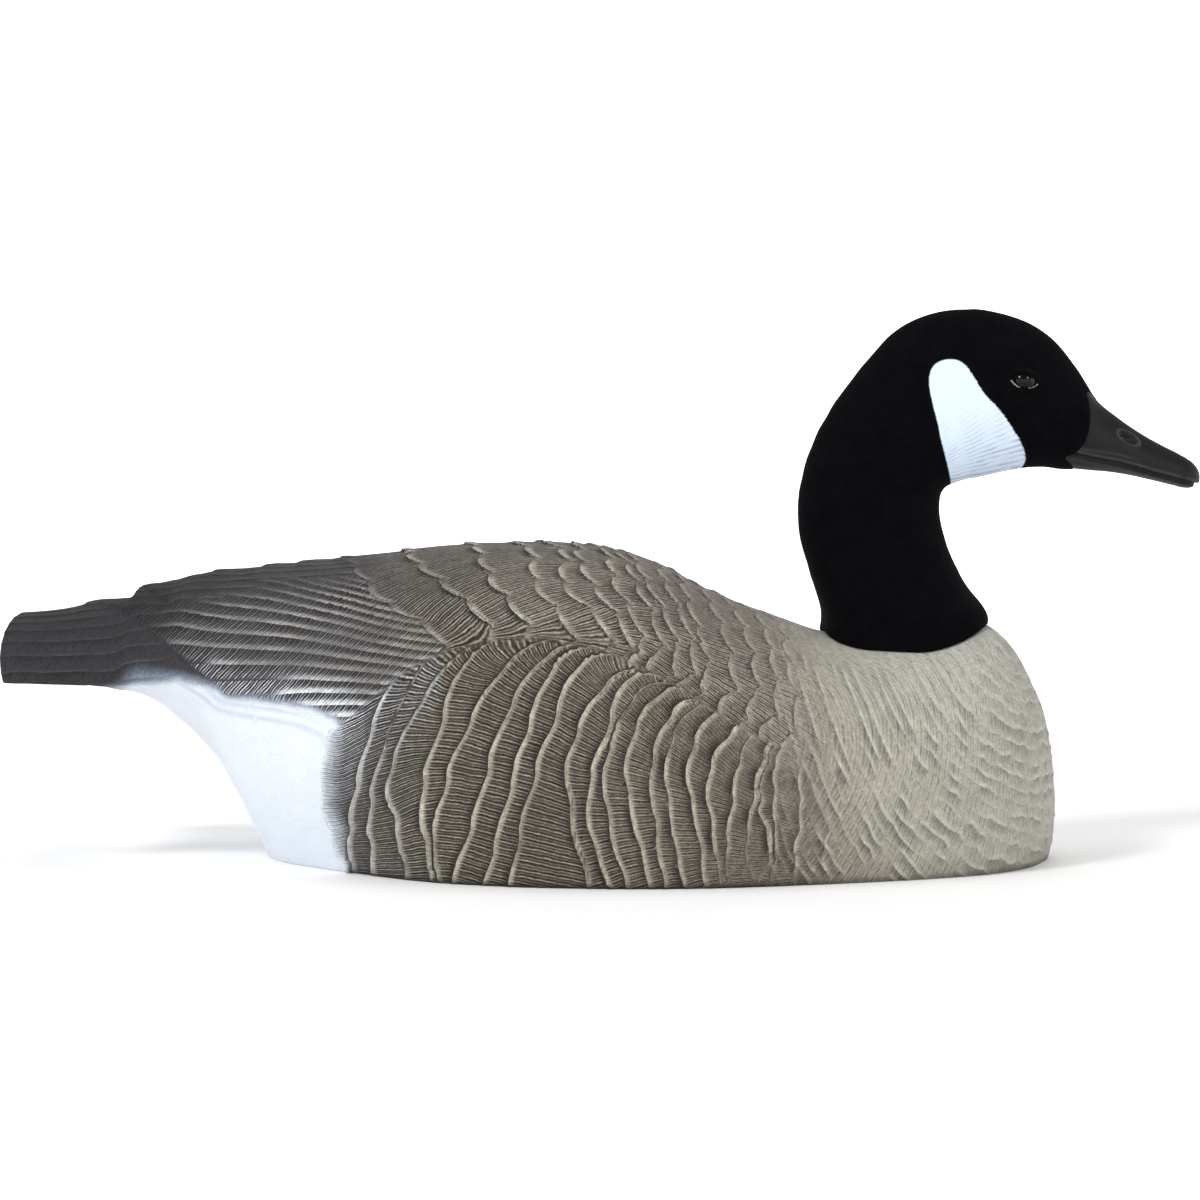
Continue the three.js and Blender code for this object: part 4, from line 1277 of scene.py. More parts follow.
@dataclass(frozen=True)
class NylonFlock:
    """Short nylon fibres blown onto glue: black that swallows light, with a faint velvet sheen.

    The cheek patch is flocked white through a mask, so its edge is ragged by a fibre's length.
    """

    black: str = "#040406"
    brushed: str = "#0B0B0E"  # painted sheen: black lightened where the nap is taken to lean towards the light
    white: str = "#CDDAEA"
    shaded: str = "#A3B5C9"  # painted shade: the white in the engraved lines
    fibre: float = 1.2  # tufts; the single fibres, 0.02 mm thick, would not show
    nap: float = 9.0  # areas whose fibres lean one way
    engraving: float = 2.4  # from one engraved line to the next

    def material(self) -> Material:
        """Makes the material."""
        material, tree = blank_material("nylon_flock")
        place = add_node(tree, "TexCoord")["Object"]
        tufts, leaning = pattern(self.fibre, 3.0, 0.7), pattern(self.nap, 2.0)
        fibre = add_node(tree, "TexNoise", tufts, {"Vector": place})["Fac"]
        nap = add_node(tree, "TexNoise", leaning, {"Vector": place})["Fac"]
        inside, frayed, across = read_field(tree, "patch")
        ragged = {"operation": "MULTIPLY_ADD", 1: 3.0, 2: -1.5}
        ragged = add_node(tree, "Math", ragged, {0: fibre})[0]
        added = {"operation": "MULTIPLY_ADD"}
        inside = add_node(tree, "Math", added, {0: ragged, 1: frayed, 2: inside})[0]
        white = add_node(tree, "MapRange", ranges(-0.35, 0.35), {"Value": inside})[0]
        cut = self._engraved(tree, nap, across)
        # painted sheen: the black is lightened by the nap's noise
        blacks = {"data_type": "RGBA", 6: rgba(self.black), 7: rgba(self.brushed)}
        whites = {"data_type": "RGBA", 6: rgba(self.white), 7: rgba(self.shaded)}
        black = add_node(tree, "Mix", blacks, {0: nap})[2]
        # painted shade in the engraved lines of the cheek patch
        pale = add_node(tree, "Mix", whites, {0: cut})[2]
        colour = add_node(tree, "Mix", {"data_type": "RGBA"}, {0: white, 6: black, 7: pale})
        lines = add_node(tree, "Math", {"operation": "MULTIPLY"}, {0: cut, 1: white})[0]
        sunk = {"operation": "MULTIPLY_ADD", 1: -0.6}
        height = add_node(tree, "Math", sunk, {0: lines, 2: fibre})[0]
        relief = {"Distance": 0.5 * MM, "Strength": 0.7}
        bump = add_node(tree, "Bump", relief, {"Height": height})[0]
        velvet = {
            "Roughness": 1.0, "IOR": 1.53, "Specular IOR Level": 0.02, "Sheen Weight": 0.01,
            "Sheen Roughness": 0.5,
        }
        end_in_shader(tree, velvet, {"Base Color": colour[2], "Normal": bump})
        return material

    def _engraved(self, tree: Tree, nap: Socket, across: Socket) -> Socket:
        """Adds the fine lines that are cut into the cheek patch and fade in places.

        Args:
            tree: The material's nodes.
            nap: The noise that bends the lines and fades them.
            across: Millimetres across the lines.

        Returns:
            An output that is 1 in the lines.
        """
        product = {"operation": "MULTIPLY"}
        bent = {"operation": "MULTIPLY_ADD", 1: 2.2}
        bent = add_node(tree, "Math", bent, {0: nap, 2: across})[0]
        turns = add_node(tree, "Math", product | {1: 2 * math.pi / self.engraving}, {0: bent})
        wave = add_node(tree, "Math", {"operation": "SINE"}, {0: turns[0]})[0]
        cut = add_node(tree, "MapRange", ranges(0.2, -1.0), {"Value": wave})[0]
        faint = add_node(tree, "MapRange", ranges(0.35, 0.6, 0.15, 1), {"Value": nap})[0]
        deep = add_node(tree, "Attribute", {"attribute_name": "engraved"})["Fac"]
        for fading in (faint, deep):
            cut = add_node(tree, "Math", product, {0: cut, 1: fading})[0]
        return cut


@dataclass(frozen=True)
class BillPaint:
    """Matt dark grey paint on moulded plastic: soft broad highlights, painted highlight on ridges and
    painted shade in grooves.
    """

    colour: str = "#0B0B0D"
    thin: str = "#131316"
    # painted shade in the mouth line, the nostril and the other grooves
    groove: str = "#0C0C0E"
    wear_and_highlight: str = "#39393F"  # painted highlight on the ridges
    roughness: float = 0.56
    grain: float = 1.4
    blotch: float = 9.0

    def material(self) -> Material:
        """Makes the material."""
        material, tree = blank_material("painted_bill")
        place = add_node(tree, "TexCoord")["Object"]
        fine, broad = pattern(self.grain, 3.0), pattern(self.blotch, 2.0)
        grain = add_node(tree, "TexNoise", fine, {"Vector": place})["Fac"]
        blotch = add_node(tree, "TexNoise", broad, {"Vector": place})["Fac"]
        greys = {"data_type": "RGBA", 6: rgba(self.colour), 7: rgba(self.thin)}
        colour = add_node(tree, "Mix", greys, {0: blotch})[2]
        relief, _, _ = read_field(tree, "relief")
        # painted shade in the grooves and painted highlight on the ridges, by the relief's height
        for heights, tone in (((-0.15, -0.9), self.groove), ((0.1, 0.5), self.wear_and_highlight)):
            cover = ranges(*heights, 0, 0.8)
            cover = add_node(tree, "MapRange", cover, {"Value": relief})[0]
            covering = {"data_type": "RGBA", 7: rgba(tone)}
            colour = add_node(tree, "Mix", covering, {0: cover, 6: colour})[2]
        bump = add_node(tree, "Bump", {"Distance": 0.12 * MM}, {"Height": grain})[0]
        matt = {"Roughness": self.roughness, "IOR": 1.5, "Specular IOR Level": 0.2}
        end_in_shader(tree, matt, {"Base Color": colour, "Normal": bump})
        return material


@dataclass(frozen=True)
class EyeGloss:
    """A cast acrylic eye, dark brown behind a clear polished dome: small sharp highlights."""

    name: str = "polished_acrylic_eye"
    shine: float = 0.2  # strength of the highlights
    iris: str = "#050303"
    fleck: str = "#0A0504"
    pupil: str = "#020202"
    pupil_radius: float = 2.5
    fleck_size: float = 0.8
    roughness: float = 0.12

    def material(self) -> Material:
        """Makes the material."""
        material, tree = blank_material(self.name)
        from_axis, _, _ = read_field(tree, "gaze")
        fleck = add_node(tree, "TexNoise", pattern(self.fleck_size, 3.0))["Fac"]
        browns = {"data_type": "RGBA", 6: rgba(self.iris), 7: rgba(self.fleck)}
        brown = add_node(tree, "Mix", browns, {0: fleck})[2]
        pupil = ranges(self.pupil_radius, self.pupil_radius + 0.3, 1, 0)
        pupil = add_node(tree, "MapRange", pupil, {"Value": from_axis})[0]
        covering = {"data_type": "RGBA", 7: rgba(self.pupil)}
        colour = add_node(tree, "Mix", covering, {0: pupil, 6: brown})[2]
        polished = {"Roughness": self.roughness, "IOR": 1.49, "Specular IOR Level": self.shine}
        end_in_shader(tree, polished, {"Base Color": colour})
        return material


@dataclass(frozen=True)
class StudioPaper:
    """Matt white background paper, lit more strongly away from the decoy, so that no horizon shows."""

    colour: str = "#F2F2F2"
    near_glow: float = 0.04  # light added under the decoy...
    far_glow: float = 0.85  # ...and far from it, where the lamps don't reach

    def material(self) -> Material:
        """Makes the material."""
        material, tree = blank_material("background_paper")
        material.cycles.emission_sampling = "NONE"
        place = add_node(tree, "TexCoord")["Object"]
        away = add_node(tree, "VectorMath", {"operation": "LENGTH"}, {0: place})["Value"]
        glow = ranges(0.7, 2.6, self.near_glow, self.far_glow)
        glow = add_node(tree, "MapRange", glow, {"Value": away})[0]
        white = {"Base Color": rgba(self.colour), "Roughness": 0.9, "Emission Color": rgba("#FFFFFF")}
        end_in_shader(tree, white, {"Emission Strength": glow})
        return material


# Sub-assemblies


@dataclass
class Skin:
    """The shell's outside as a grid, with a column at each place along the body."""

    along: Array  # place of each column
    opening: int  # the column at which the rim meets the ground...
    closing: int  # ...and the one at which it leaves it
    smooth: Array  # points before they are carved
    normals: Array
    carved: Array  # points after it
    fields: dict[str, Array]
    numbers: Array  # the points' numbers in the mesh


@dataclass
class BodyShell:
    """The moulded shell: carved and painted outside, bare inside, open underneath."""

    form: BodyForm
    origin: Array  # where the tail tip's place is zero, in millimetres in the CAD's frame
    neck_place: float
    neck_half: float
    wall: float = 3.0
    flank_column: float = 1.55  # from one column of the mesh to the next
    rear_column: float = 2.1
    front_start: float = 535.0  # from here on the columns follow the round breast
    front_columns: int = 92
    upper_bands: int = 66
    lower_bands: int = 42
    inner_bands: int = 9
    hollow_start: float = 50.0
    end_round: float = 2.0

    TAIL_BOW = 2.6  # how far the tail's top and bottom edge stand forward of its middle
    TAIL_MIDDLE = 118.0  # height of the tail's middle...
    TAIL_HALF = 20.0  # ...and from there to the height where the bow ends

    def build(self) -> Piece:
        mesh = MirroredMesh()
        skin = self._skin(mesh)
        mesh.add_skin(skin.numbers, SurfaceKind.PAINTED.value)
        self._close_tail(mesh, skin)
        self._hollow(mesh, skin)
        piece = mesh.build("shell", self.origin)
        for finish in (AirbrushedShell(), BarePolyethylene()):
            piece.data.materials.append(finish.material())
        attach(piece, "root")
        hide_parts("body_shell")
        return piece

    def _skin(self, mesh: MirroredMesh) -> Skin:
        """Carves and paints the outside, and adds its points to the mesh."""
        along, opening, closing = self._columns()
        upper = np.linspace(0, 1, self.upper_bands, endpoint=False)
        down = np.concatenate([upper, np.linspace(1, 2, self.lower_bands + 1)])
        grid_along, grid_down = np.meshgrid(along, down, indexing="ij")
        smooth = self.form.place(grid_along, grid_down)
        normals = self._normals(smooth)
        steps = np.linalg.norm(np.diff(smooth, axis=1), axis=2)
        girth = np.pad(np.cumsum(steps, 1), ((0, 0), (1, 0)))
        middle = self._middle_girth(along)[:, None] + 0 * down
        plumage = Plumage(
            grid_along, grid_down, girth, smooth, middle, self.neck_place, self.neck_half
        )
        height = plumage.carve()
        plumage.paint()
        opened = (along > along[opening]) & (along < along[closing])
        carved = self._raise(smooth, normals, height, opened)
        self._bow_tail(carved, grid_along)
        numbers = mesh.add_grid(carved, plumage.fields)
        return Skin(along, opening, closing, smooth, normals, carved, plumage.fields, numbers)

    def _columns(self) -> tuple[Array, int, int]:
        """Places of the mesh's columns, and the numbers of those where the rim opens and closes."""
        length = self.form.length
        opens, closes = (place * length / 100 for place, up in BELLY_LINE if up == 0)
        rear = np.arange(0, opens - 1, self.rear_column)
        rear = np.append(rear, opens)
        flank = np.arange(opens + 3.6, self.front_start, self.flank_column)
        first = 100 * (self.front_start + 1) / length
        roots = np.linspace(-towards_breast(first), 0, self.front_columns)
        front = length * (1 - roots**2)
        front = np.sort(np.append(front[np.abs(front - closes) > 0.15], closes))
        along = np.concatenate([rear, flank, front])
        return along, len(rear) - 1, int(np.argmin(np.abs(along - closes)))

    @staticmethod
    def _normals(points: Array) -> Array:
        """Directions that face out of the smooth body."""
        normal = np.cross(np.gradient(points, axis=0), np.gradient(points, axis=1))
        normal[:, 0, 1] = 0
        size = np.linalg.norm(normal, axis=2, keepdims=True)
        normal = np.where(size > 1e-9, normal / np.maximum(size, 1e-9), [1.0, 0, 0])
        normal[-1] = [1.0, 0, 0]
        return normal

    def _middle_girth(self, along: Array) -> Array:
        """Girth from the back to the wing's middle line, at each column."""
        angles = np.linspace(0, math.radians(WING_MIDDLE_ANGLE), 60)
        points = self.form.point(*np.meshgrid(along, angles, indexing="ij"))
        return np.linalg.norm(np.diff(points, axis=1), axis=2).sum(1)

    @staticmethod
    def _raise(points: Array, normals: Array, height: Array, opened: Array) -> Array:
        """Moves the smooth body's points out by the carving, and keeps the rim on the ground.

        Args:
            points: The smooth body's points.
            normals: Directions that face out of it.
            height: How far the carving stands out at each point.
            opened: For each column, whether the body is open underneath.

        Returns:
            The carved points.
        """
        facing = normals.copy()
        facing[opened, -1, 2] = 0
        raised = points + facing * height[..., None]
        raised[opened, -1, 2] = 0
        raised[:, 0, 1] = 0
        raised[~opened, -1, 1] = 0
        raised[..., 1:] = np.maximum(raised[..., 1:], 0)
        raised[-1] = raised[-1].mean(0)
        return raised

    def _bow_tail(self, points: Array, along: Array) -> None:
        """The tail's end is bowed: its middle height reaches furthest back."""
        height = (points[..., 2] - self.TAIL_MIDDLE) / self.TAIL_HALF
        bow = self.TAIL_BOW * smoothstep(along, 26, 0)
        points[..., 0] += bow * np.clip(height, -1, 1) ** 2

    def _close_tail(self, mesh: MirroredMesh, skin: Skin) -> None:
        """Rounds and closes the tail's end."""
        rings = []
        for turn in (0.35, 0.8, 1.3):
            inset, back = self.end_round * (1 - math.cos(turn)), self.end_round * math.sin(turn)
            ring = skin.carved[0] - skin.normals[0] * inset
            ring[:, 0] = skin.carved[0, :, 0] - 0.45 * back
            ring[[0, -1], 1] = 0
            rings.append(ring)
        held = {}
        for name, vectors in skin.fields.items():
            held[name] = np.repeat(vectors[:1], len(rings), 0)
        extra = mesh.add_grid(np.stack(rings), held)
        chain = np.concatenate([extra[::-1], skin.numbers[:1]])
        mesh.add_skin(chain, SurfaceKind.PAINTED.value)
        mesh.add_end(extra[-1], SurfaceKind.PAINTED.value)

    def _hollow(self, mesh: MirroredMesh, skin: Skin) -> None:
        """Adds the inside and the flat rim that joins it to the outside."""
        opening, closing = skin.opening, skin.closing
        first = int(np.argmin(np.abs(skin.along - self.hollow_start)))
        bands = np.linspace(0, skin.smooth.shape[1] - 1, self.inner_bands).round().astype(int)
        part = slice(first, closing + 1)
        inner = skin.smooth[part, bands] - self.wall * skin.normals[part, bands]
        inner[:, 0, 1] = 0
        inner[..., 1] = np.maximum(inner[..., 1], 0)
        inner[..., 2] = np.maximum(inner[..., 2], 0.5)
        rim, ground = slice(opening + 1 - first, closing - first), slice(opening + 1, closing)
        facing = skin.normals[ground, -1] * [1, 1, 0]
        facing /= np.maximum(np.linalg.norm(facing, axis=1, keepdims=True), 1e-9)
        inner[rim, -1] = skin.smooth[ground, -1] - self.wall * facing
        inner[rim, -1, 1] = np.maximum(inner[rim, -1, 1], 0.02)
        inner[rim, -1, 2] = 0
        closed = np.ones(len(inner), bool)
        closed[rim] = False
        inner[closed, -1, 1] = 0
        inside = mesh.add_grid(inner)
        mesh.add_skin(inside, SurfaceKind.BARE.value, inward=True)
        mesh.add_end(inside[0], SurfaceKind.BARE.value, front=True)
        mesh.add_end(inside[-1], SurfaceKind.BARE.value)
        outer, inner_edge = skin.numbers[opening : closing + 1, -1], inside[opening - first :, -1]
        mesh.add_quads(
            outer[:-1], outer[1:], inner_edge[1:], inner_edge[:-1], SurfaceKind.BARE.value
        )


@dataclass
class HeadForm:
    """The form of the head and neck, drawn with the rings of the CAD's."""

    height: float = 180.0
    square_nape: float = 2.6  # how much squarer than an ellipse the back of the foot is

    def ring(self, number: Array, angle: Array) -> Array:
        """Finds points of the left half.

        Args:
            number: Rings from the foot, with the share of the way to the next one.
            angle: 0 at the crown or nape, pi at the jaw or throat.

        Returns:
            The points, in millimetres from the seat of the neck.
        """
        rows = np.array(HEAD_LINE, float)
        last = len(rows) - 1
        i = np.clip(np.floor(number).astype(int), 0, last - 1)
        t = (number - i)[..., None]
        before, start = rows[np.maximum(i - 1, 0)], rows[i]
        end, after = rows[i + 1], rows[np.minimum(i + 2, last)]
        leave, arrive = (end - before) / 2, (after - start) / 2
        cubic = 2 * start - 2 * end + leave + arrive
        square = 3 * end - 3 * start - 2 * leave - arrive
        row = (cubic * t**3 + square * t**2 + leave * t + start) * self.height / 100
        low = row[..., 5] * 100 / self.height
        upper, lower = row[..., 0:2], row[..., 2:4]
        middle, across = (upper + lower) / 2, (upper - lower) / 2
        cosine = np.cos(angle)
        power = 2 / (2 + self.square_nape * smoothstep(number, 4, 0.5) * (cosine > 0))
        cosine = np.sign(cosine) * np.abs(cosine) ** power
        out = row[..., 4] * np.abs(np.sin(angle)) ** power * (1 - low * cosine)
        x, z = np.moveaxis(middle + across * cosine[..., None], -1, 0)
        return np.stack([x, np.maximum(out, 0), z], -1)

    @staticmethod
    def normals(points: Array) -> Array:
        """Directions that face out of a grid of rings."""
        normal = np.cross(np.gradient(points, axis=0), np.gradient(points, axis=1))
        normal[:, [0, -1], 1] = 0
        return normal / np.maximum(np.linalg.norm(normal, axis=2, keepdims=True), 1e-9)


# Lines on the head, as (along, up) from the seat of the neck, in millimetres
MOUTH = (
    (84, 98.5), (92.2, 99.4), (98.8, 98.1), (108, 96.3), (117.3, 94.6), (126.6, 92.2),
    (135.9, 89.5), (145.2, 87.2), (155.2, 84.6), (163, 83),
)
LIP = ((93, 103.2), (96, 102.7), (103.3, 101.6), (112.4, 100.4), (121.3, 98.4), (132, 95.2))
NOSTRIL = ((115.8, 112.2), (127.8, 105.4))
CHEEK = (
    (10.9, 137.7), (11.6, 144), (14.4, 148.6), (20.7, 151.2), (28.8, 150.1), (34.2, 142.6),
    (38, 135.5), (41.8, 130.1), (48.8, 123.6), (55.3, 114.4), (60.7, 106.8), (64, 100.4),
    (65.6, 96), (63, 86), (27.2, 80), (23.4, 89), (20.7, 96.6), (17.4, 106.8), (15.3, 117.1),
    (12.5, 127.4),
)
CHEEK_FRONT = ((30, 152), (42, 131), (66, 96))  # where its edge is the most ragged

# Where the flock ends on the bill, as (up, along)
BILL_ROOT = (
    (86, 95), (91.5, 93.6), (95, 89.5), (98.1, 86.8), (99.9, 91.3), (103.1, 94.9), (108.5, 97.7),
    (114.9, 99.5), (122.3, 100), (128.8, 100), (133.1, 98.6), (134.6, 103), (140, 114),
)
BARE_OF_PATCH = (-9.0, 0.0, 0.0)  # what the "patch" field holds far outside the cheek


class Side(Enum):
    """Sides of the head, by the way that +Y runs."""

    LEFT = 1
    RIGHT = -1


@dataclass
class EyeAndLids:
    """One glossy eye, and the flocked almond rim that closes over its top and its bottom."""

    form: HeadForm
    seat: Array  # the seat of the neck, in millimetres in the CAD's frame
    side: Side
    turns: int = 48  # round the eye's axis
    steps: int = 24  # from its front to its back
    lid_turns: int = 72
    lid_half_long: float = 6.5
    lid_half_high: float = 3.5
    lid_tilt: float = -8.0  # degrees
    name: str = field(init=False)
    centre: Array = field(init=False)
    radius: float = field(init=False)

    LOOKING = (0.16, 0.97, 0.12)  # where the left eye looks
    FAR_BEHIND = 99.0  # what the "gaze" field holds on the back of the eye

    # The lid in section, as how far out it lies, against the opening, and how far it rises
    LID_SECTION = (
        (1.0, -1.2), (1.0, 0.15), (1.04, 0.45), (1.14, 0.5), (1.24, 0.3), (1.3, 0.75),
        (1.5, 0.85), (1.8, 0.5), (2.15, 0.05), (2.4, -0.6),
    )
    WET_STRIPS = 4  # strips of that section, from the eye outwards, that shine

    def __post_init__(self) -> None:
        """Reads the eye's place and size from the frame."""
        self.name = self.side.name.lower()
        low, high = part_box("eye_" + self.name)
        self.centre = np.array((low + high) / 2) / MM
        self.radius = (high - low).z / 2 / MM

    def eye(self, gloss: Material) -> Piece:
        """Builds the eye, a ball whose points know how far they lie from its axis."""
        x, y, z = self.LOOKING
        axis = np.array(Vector((x, self.side.value * y, z)).normalized())
        across = np.cross(axis, [0, 0, 1])
        across /= np.linalg.norm(across)
        up = np.cross(across, axis)
        tilt, spin = np.meshgrid(
            np.linspace(0, math.pi, self.steps + 1),
            np.linspace(0, 2 * math.pi, self.turns, endpoint=False),
            indexing="ij",
        )
        tilt, spin = tilt[..., None], spin[..., None]
        round_axis = across * np.cos(spin) + up * np.sin(spin)
        points = self.radius * (axis * np.cos(tilt) + round_axis * np.sin(tilt)) + self.centre
        from_axis = np.where(tilt < math.pi / 2, self.radius * np.sin(tilt), self.FAR_BEHIND)
        numbers = np.arange(tilt.size).reshape(tilt.shape[:2])
        after = np.roll(numbers, -1, 1)
        quads = np.stack([numbers[:-1], numbers[1:], after[1:], after[:-1]], -1).reshape(-1, 4)
        points = points.reshape(-1, 3)
        kept, faces, _ = merge_points(points, quads, np.zeros(len(quads), int))
        gaze = np.repeat(from_axis.reshape(-1, 1), 3, 1)[kept]
        name = "eye_" + self.name + "_glossy"
        piece = make_piece(name, points[kept] * MM, faces, fields={"gaze": gaze})
        piece.data.materials.append(gloss)
        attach(piece, "root")
        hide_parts("eye_" + self.name)
        return piece

    def lids(self, flock: Material, wet_rim: Material) -> Piece:
        """Builds the lids, with a wet look along the edge of the lower one."""
        section = len(self.LID_SECTION)
        points = self._lid_points()
        numbers = np.arange(len(points)).reshape(self.lid_turns, section)
        after = np.roll(numbers, -1, 0)
        a, b, c, d = numbers, after, np.roll(after, -1, 1), np.roll(numbers, -1, 1)
        corners = (a, b, c, d) if self.side is Side.LEFT else (a, d, c, b)
        faces = np.stack(corners, -1).reshape(-1, 4)
        turn = 2 * math.pi * (np.arange(len(faces)) // section) / self.lid_turns
        lower_arc = (np.sin(turn) < -0.1) & (np.abs(np.cos(turn)) > 0.3)
        wet = (np.arange(len(faces)) % section < self.WET_STRIPS) & lower_arc
        fields = {"patch": np.tile(BARE_OF_PATCH, (len(points), 1))}
        name = "eyelids_" + self.name
        piece = make_piece(name, points * MM, faces.tolist(), wet.astype(np.int32), fields)
        for finish in (flock, wet_rim):
            piece.data.materials.append(finish)
        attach(piece, "root")
        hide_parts("head_and_neck")
        return piece

    def _lid_points(self) -> Array:
        """Points of the lids, section by section round the eye: each lies on the head or the eye."""
        centre = (self.centre - self.seat) * [1, self.side.value, 1]
        surface = self._head_near_eye()
        tilt = math.radians(self.lid_tilt)
        cosine, sine = math.cos(tilt), math.sin(tilt)
        points = []
        for angle in np.linspace(0, 2 * math.pi, self.lid_turns, endpoint=False):
            wide = math.cos(angle)
            high = math.sin(angle) * (1 - 0.25 * abs(wide) ** 2.2)
            for spread, rise in self.LID_SECTION:
                narrower = spread if spread < 1.2 else 1 + 0.8 * (spread - 1)
                long = self.lid_half_long * wide * narrower
                tall = self.lid_half_high * high * spread
                off_x, off_z = long * cosine - tall * sine, long * sine + tall * cosine
                base = self._skin_at(surface, centre[0] + off_x, centre[2] + off_z)
                if rise > 0:
                    base = max(base - 0.1, self._eye_at(centre[1], off_x, off_z) + 0.12)
                out = self.side.value * (base + rise)
                points.append((centre[0] + off_x, out, centre[2] + off_z))
        return np.array(points) + self.seat

    def _head_near_eye(self) -> Array:
        """Points of the head's side near the eye, close together."""
        number, angle = np.meshgrid(
            np.linspace(9.5, 14, 160), np.linspace(0.1, 2.2, 160), indexing="ij"
        )
        return self.form.ring(number, angle).reshape(-1, 3)

    @staticmethod
    def _skin_at(surface: Array, x: float, z: float) -> float:
        """How far out the head's side lies, from the six nearest points of it."""
        away = (surface[:, 0] - x) ** 2 + (surface[:, 2] - z) ** 2
        near = np.argsort(away)[:6]
        return float(np.average(surface[near, 1], weights=1 / (away[near] + 1e-3)))

    def _eye_at(self, middle: float, off_x: float, off_z: float) -> float:
        """How far out the eye lies at a place off its middle, or far inside the head beside it."""
        left = self.radius**2 - off_x**2 - off_z**2
        return middle + math.sqrt(left) if left > 0 else -99.0


@dataclass
class HeadAndNeck:
    """The flocked head and neck and the bill, with the eyes and their lids."""

    form: HeadForm
    body: BodyForm
    origin: Array  # the tail tip's place, as for the shell
    seat_along: float
    seat_height: float
    head_rows: int = 210
    bill_rows: int = 130
    around: int = 84  # points from crown to jaw
    flock: float = 0.35  # how far the flock stands over the bill's paint
    flock_fades: float = 6.0  # rows of the bill over which that step is smoothed out
    nap: float = 0.22  # unevenness of the flock
    seam: float = 0.3  # between the foot and the shell
    foot_round: float = 1.6
    tip_power: float = 2.05  # how blunt the bill's end is
    seat: Array = field(init=False)  # where the neck stands, in the CAD's frame
    angles: Array = field(init=False)
    foot: Array = field(init=False)
    bill_start: Array = field(init=False)

    def __post_init__(self) -> None:
        """Finds the foot and the root of the bill on every line from crown to jaw."""
        self.seat = self.origin + np.array([self.seat_along, 0, self.seat_height])
        self.angles = np.linspace(0, math.pi, self.around)
        steps = np.linspace(0, 19.99, 2000)
        neck, face = steps < 6, steps > 12
        points = self.form.ring(*np.meshgrid(steps, self.angles, indexing="ij"))
        above = points[neck, :, 2] > self._on_shell(points[neck])
        self.foot = steps[np.argmax(above, 0)]
        root = SmoothLine(BILL_ROOT)(points[..., 2]) + 6.5 * smoothstep(self.angles, 0.55, 0.1)
        past = (points[..., 0] > root) & face[:, None]
        self.bill_start = steps[np.argmax(past, 0)]

    def build(self) -> list[Piece]:
        """Builds and dresses every piece, and attaches each to the root."""
        flock, gloss = NylonFlock().material(), EyeGloss().material()
        wet_rim = EyeGloss(name="wet_look_lid_rim", shine=0.9).material()
        pieces = [self._head(flock), self._bill()]
        for side in Side:
            eye = EyeAndLids(self.form, self.seat, side)
            pieces += [eye.eye(gloss), eye.lids(flock, wet_rim)]
        return pieces

    def _on_shell(self, points: Array) -> Array:
        """Height of the shell under points of the neck, from the seat, with the seam's gap."""
        ground = self.body.height_at(points[..., 0] + self.seat_along, points[..., 1])
        return ground - self.seat_height + self.seam

    def _head(self, flock: Material) -> Piece:
        """The flocked part, from its foot on the shell to the root of the bill."""
        share = np.linspace(0, 1, self.head_rows)[:, None]
        number = self.foot + (self.bill_start - self.foot) * share
        points = self.form.ring(number, self.angles + 0 * number)
        normals = self.form.normals(points)
        x, _, z = np.moveaxis(points, -1, 0)
        nap = self.nap * hand_waver(x + 0.4 * z, z - 0.3 * x, 7, 51)
        fields = self._cheek_fields(x, z)
        points = points + normals * (nap * smoothstep(share, 0, 0.03))[..., None]
        points[:, [0, -1], 1] = 0
        foot = self._foot(points[0], normals[0])
        points[:6, :, 2] += np.linspace(1.2, 0, 6)[:, None]
        sunk = points[-1] - normals[-1] * 2.5
        sunk[:, 0] -= 1.0
        plain = np.tile(BARE_OF_PATCH, (len(foot), self.around, 1))
        mesh = MirroredMesh()
        bottom = mesh.add_grid(foot, {"patch": plain})
        main = mesh.add_grid(points, fields)
        throat = mesh.add_grid(sunk[None], {"patch": plain[:1]})
        mesh.add_skin(np.concatenate([bottom, main, throat]))
        mesh.add_end(bottom[0])
        mesh.add_end(throat[0], front=True)
        piece = mesh.build("head_and_neck_flocked", self.seat)
        piece.data.materials.append(flock)
        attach(piece, "root")
        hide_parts("head_and_neck")
        return piece

    @staticmethod
    def _cheek_fields(x: Array, z: Array) -> dict[str, Array]:
        """What the flock needs to know: the cheek patch, how ragged its edge is, and its lines."""
        inside = distance_to_outline(x, z, rounded_outline(CHEEK))
        ragged = 0.3 + 0.9 * smoothstep(distance_to_line(x, z, CHEEK_FRONT), -6, 6)
        fanned_lines = 52.8 * np.arctan2(z - 78, x + 12) + 0.15 * z
        deep = 0.1 + 0.9 * smoothstep(z - 0.25 * x, 118, 88)
        return {
            "patch": np.stack([inside, ragged, fanned_lines], -1),
            "engraved": np.stack([deep] * 3, -1),
        }

    def _foot(self, edge: Array, normals: Array) -> Array:
        """The foot's rounded edge and its underside, which follow the shell.

        Args:
            edge: The lowest ring of the neck.
            normals: Directions that face out of it.

        Returns:
            Rings from the middle of the underside to the edge.
        """
        rings = []
        for turn in (0.5, 1.1, 1.5):
            ring = edge - normals * self.foot_round * (1 - math.cos(turn))
            ring[:, 2] = self._on_shell(ring) + 1.5 * (1 - math.sin(turn))
            rings.append(ring)
        centre = edge.mean(0) * [1, 0, 0]
        for keep in (0.7, 0.35):
            ring = centre + (rings[2] - centre) * [keep, keep, 1]
            ring[:, 2] = self._on_shell(ring) + 0.2
            rings.append(ring)
        return np.stack(rings[::-1])

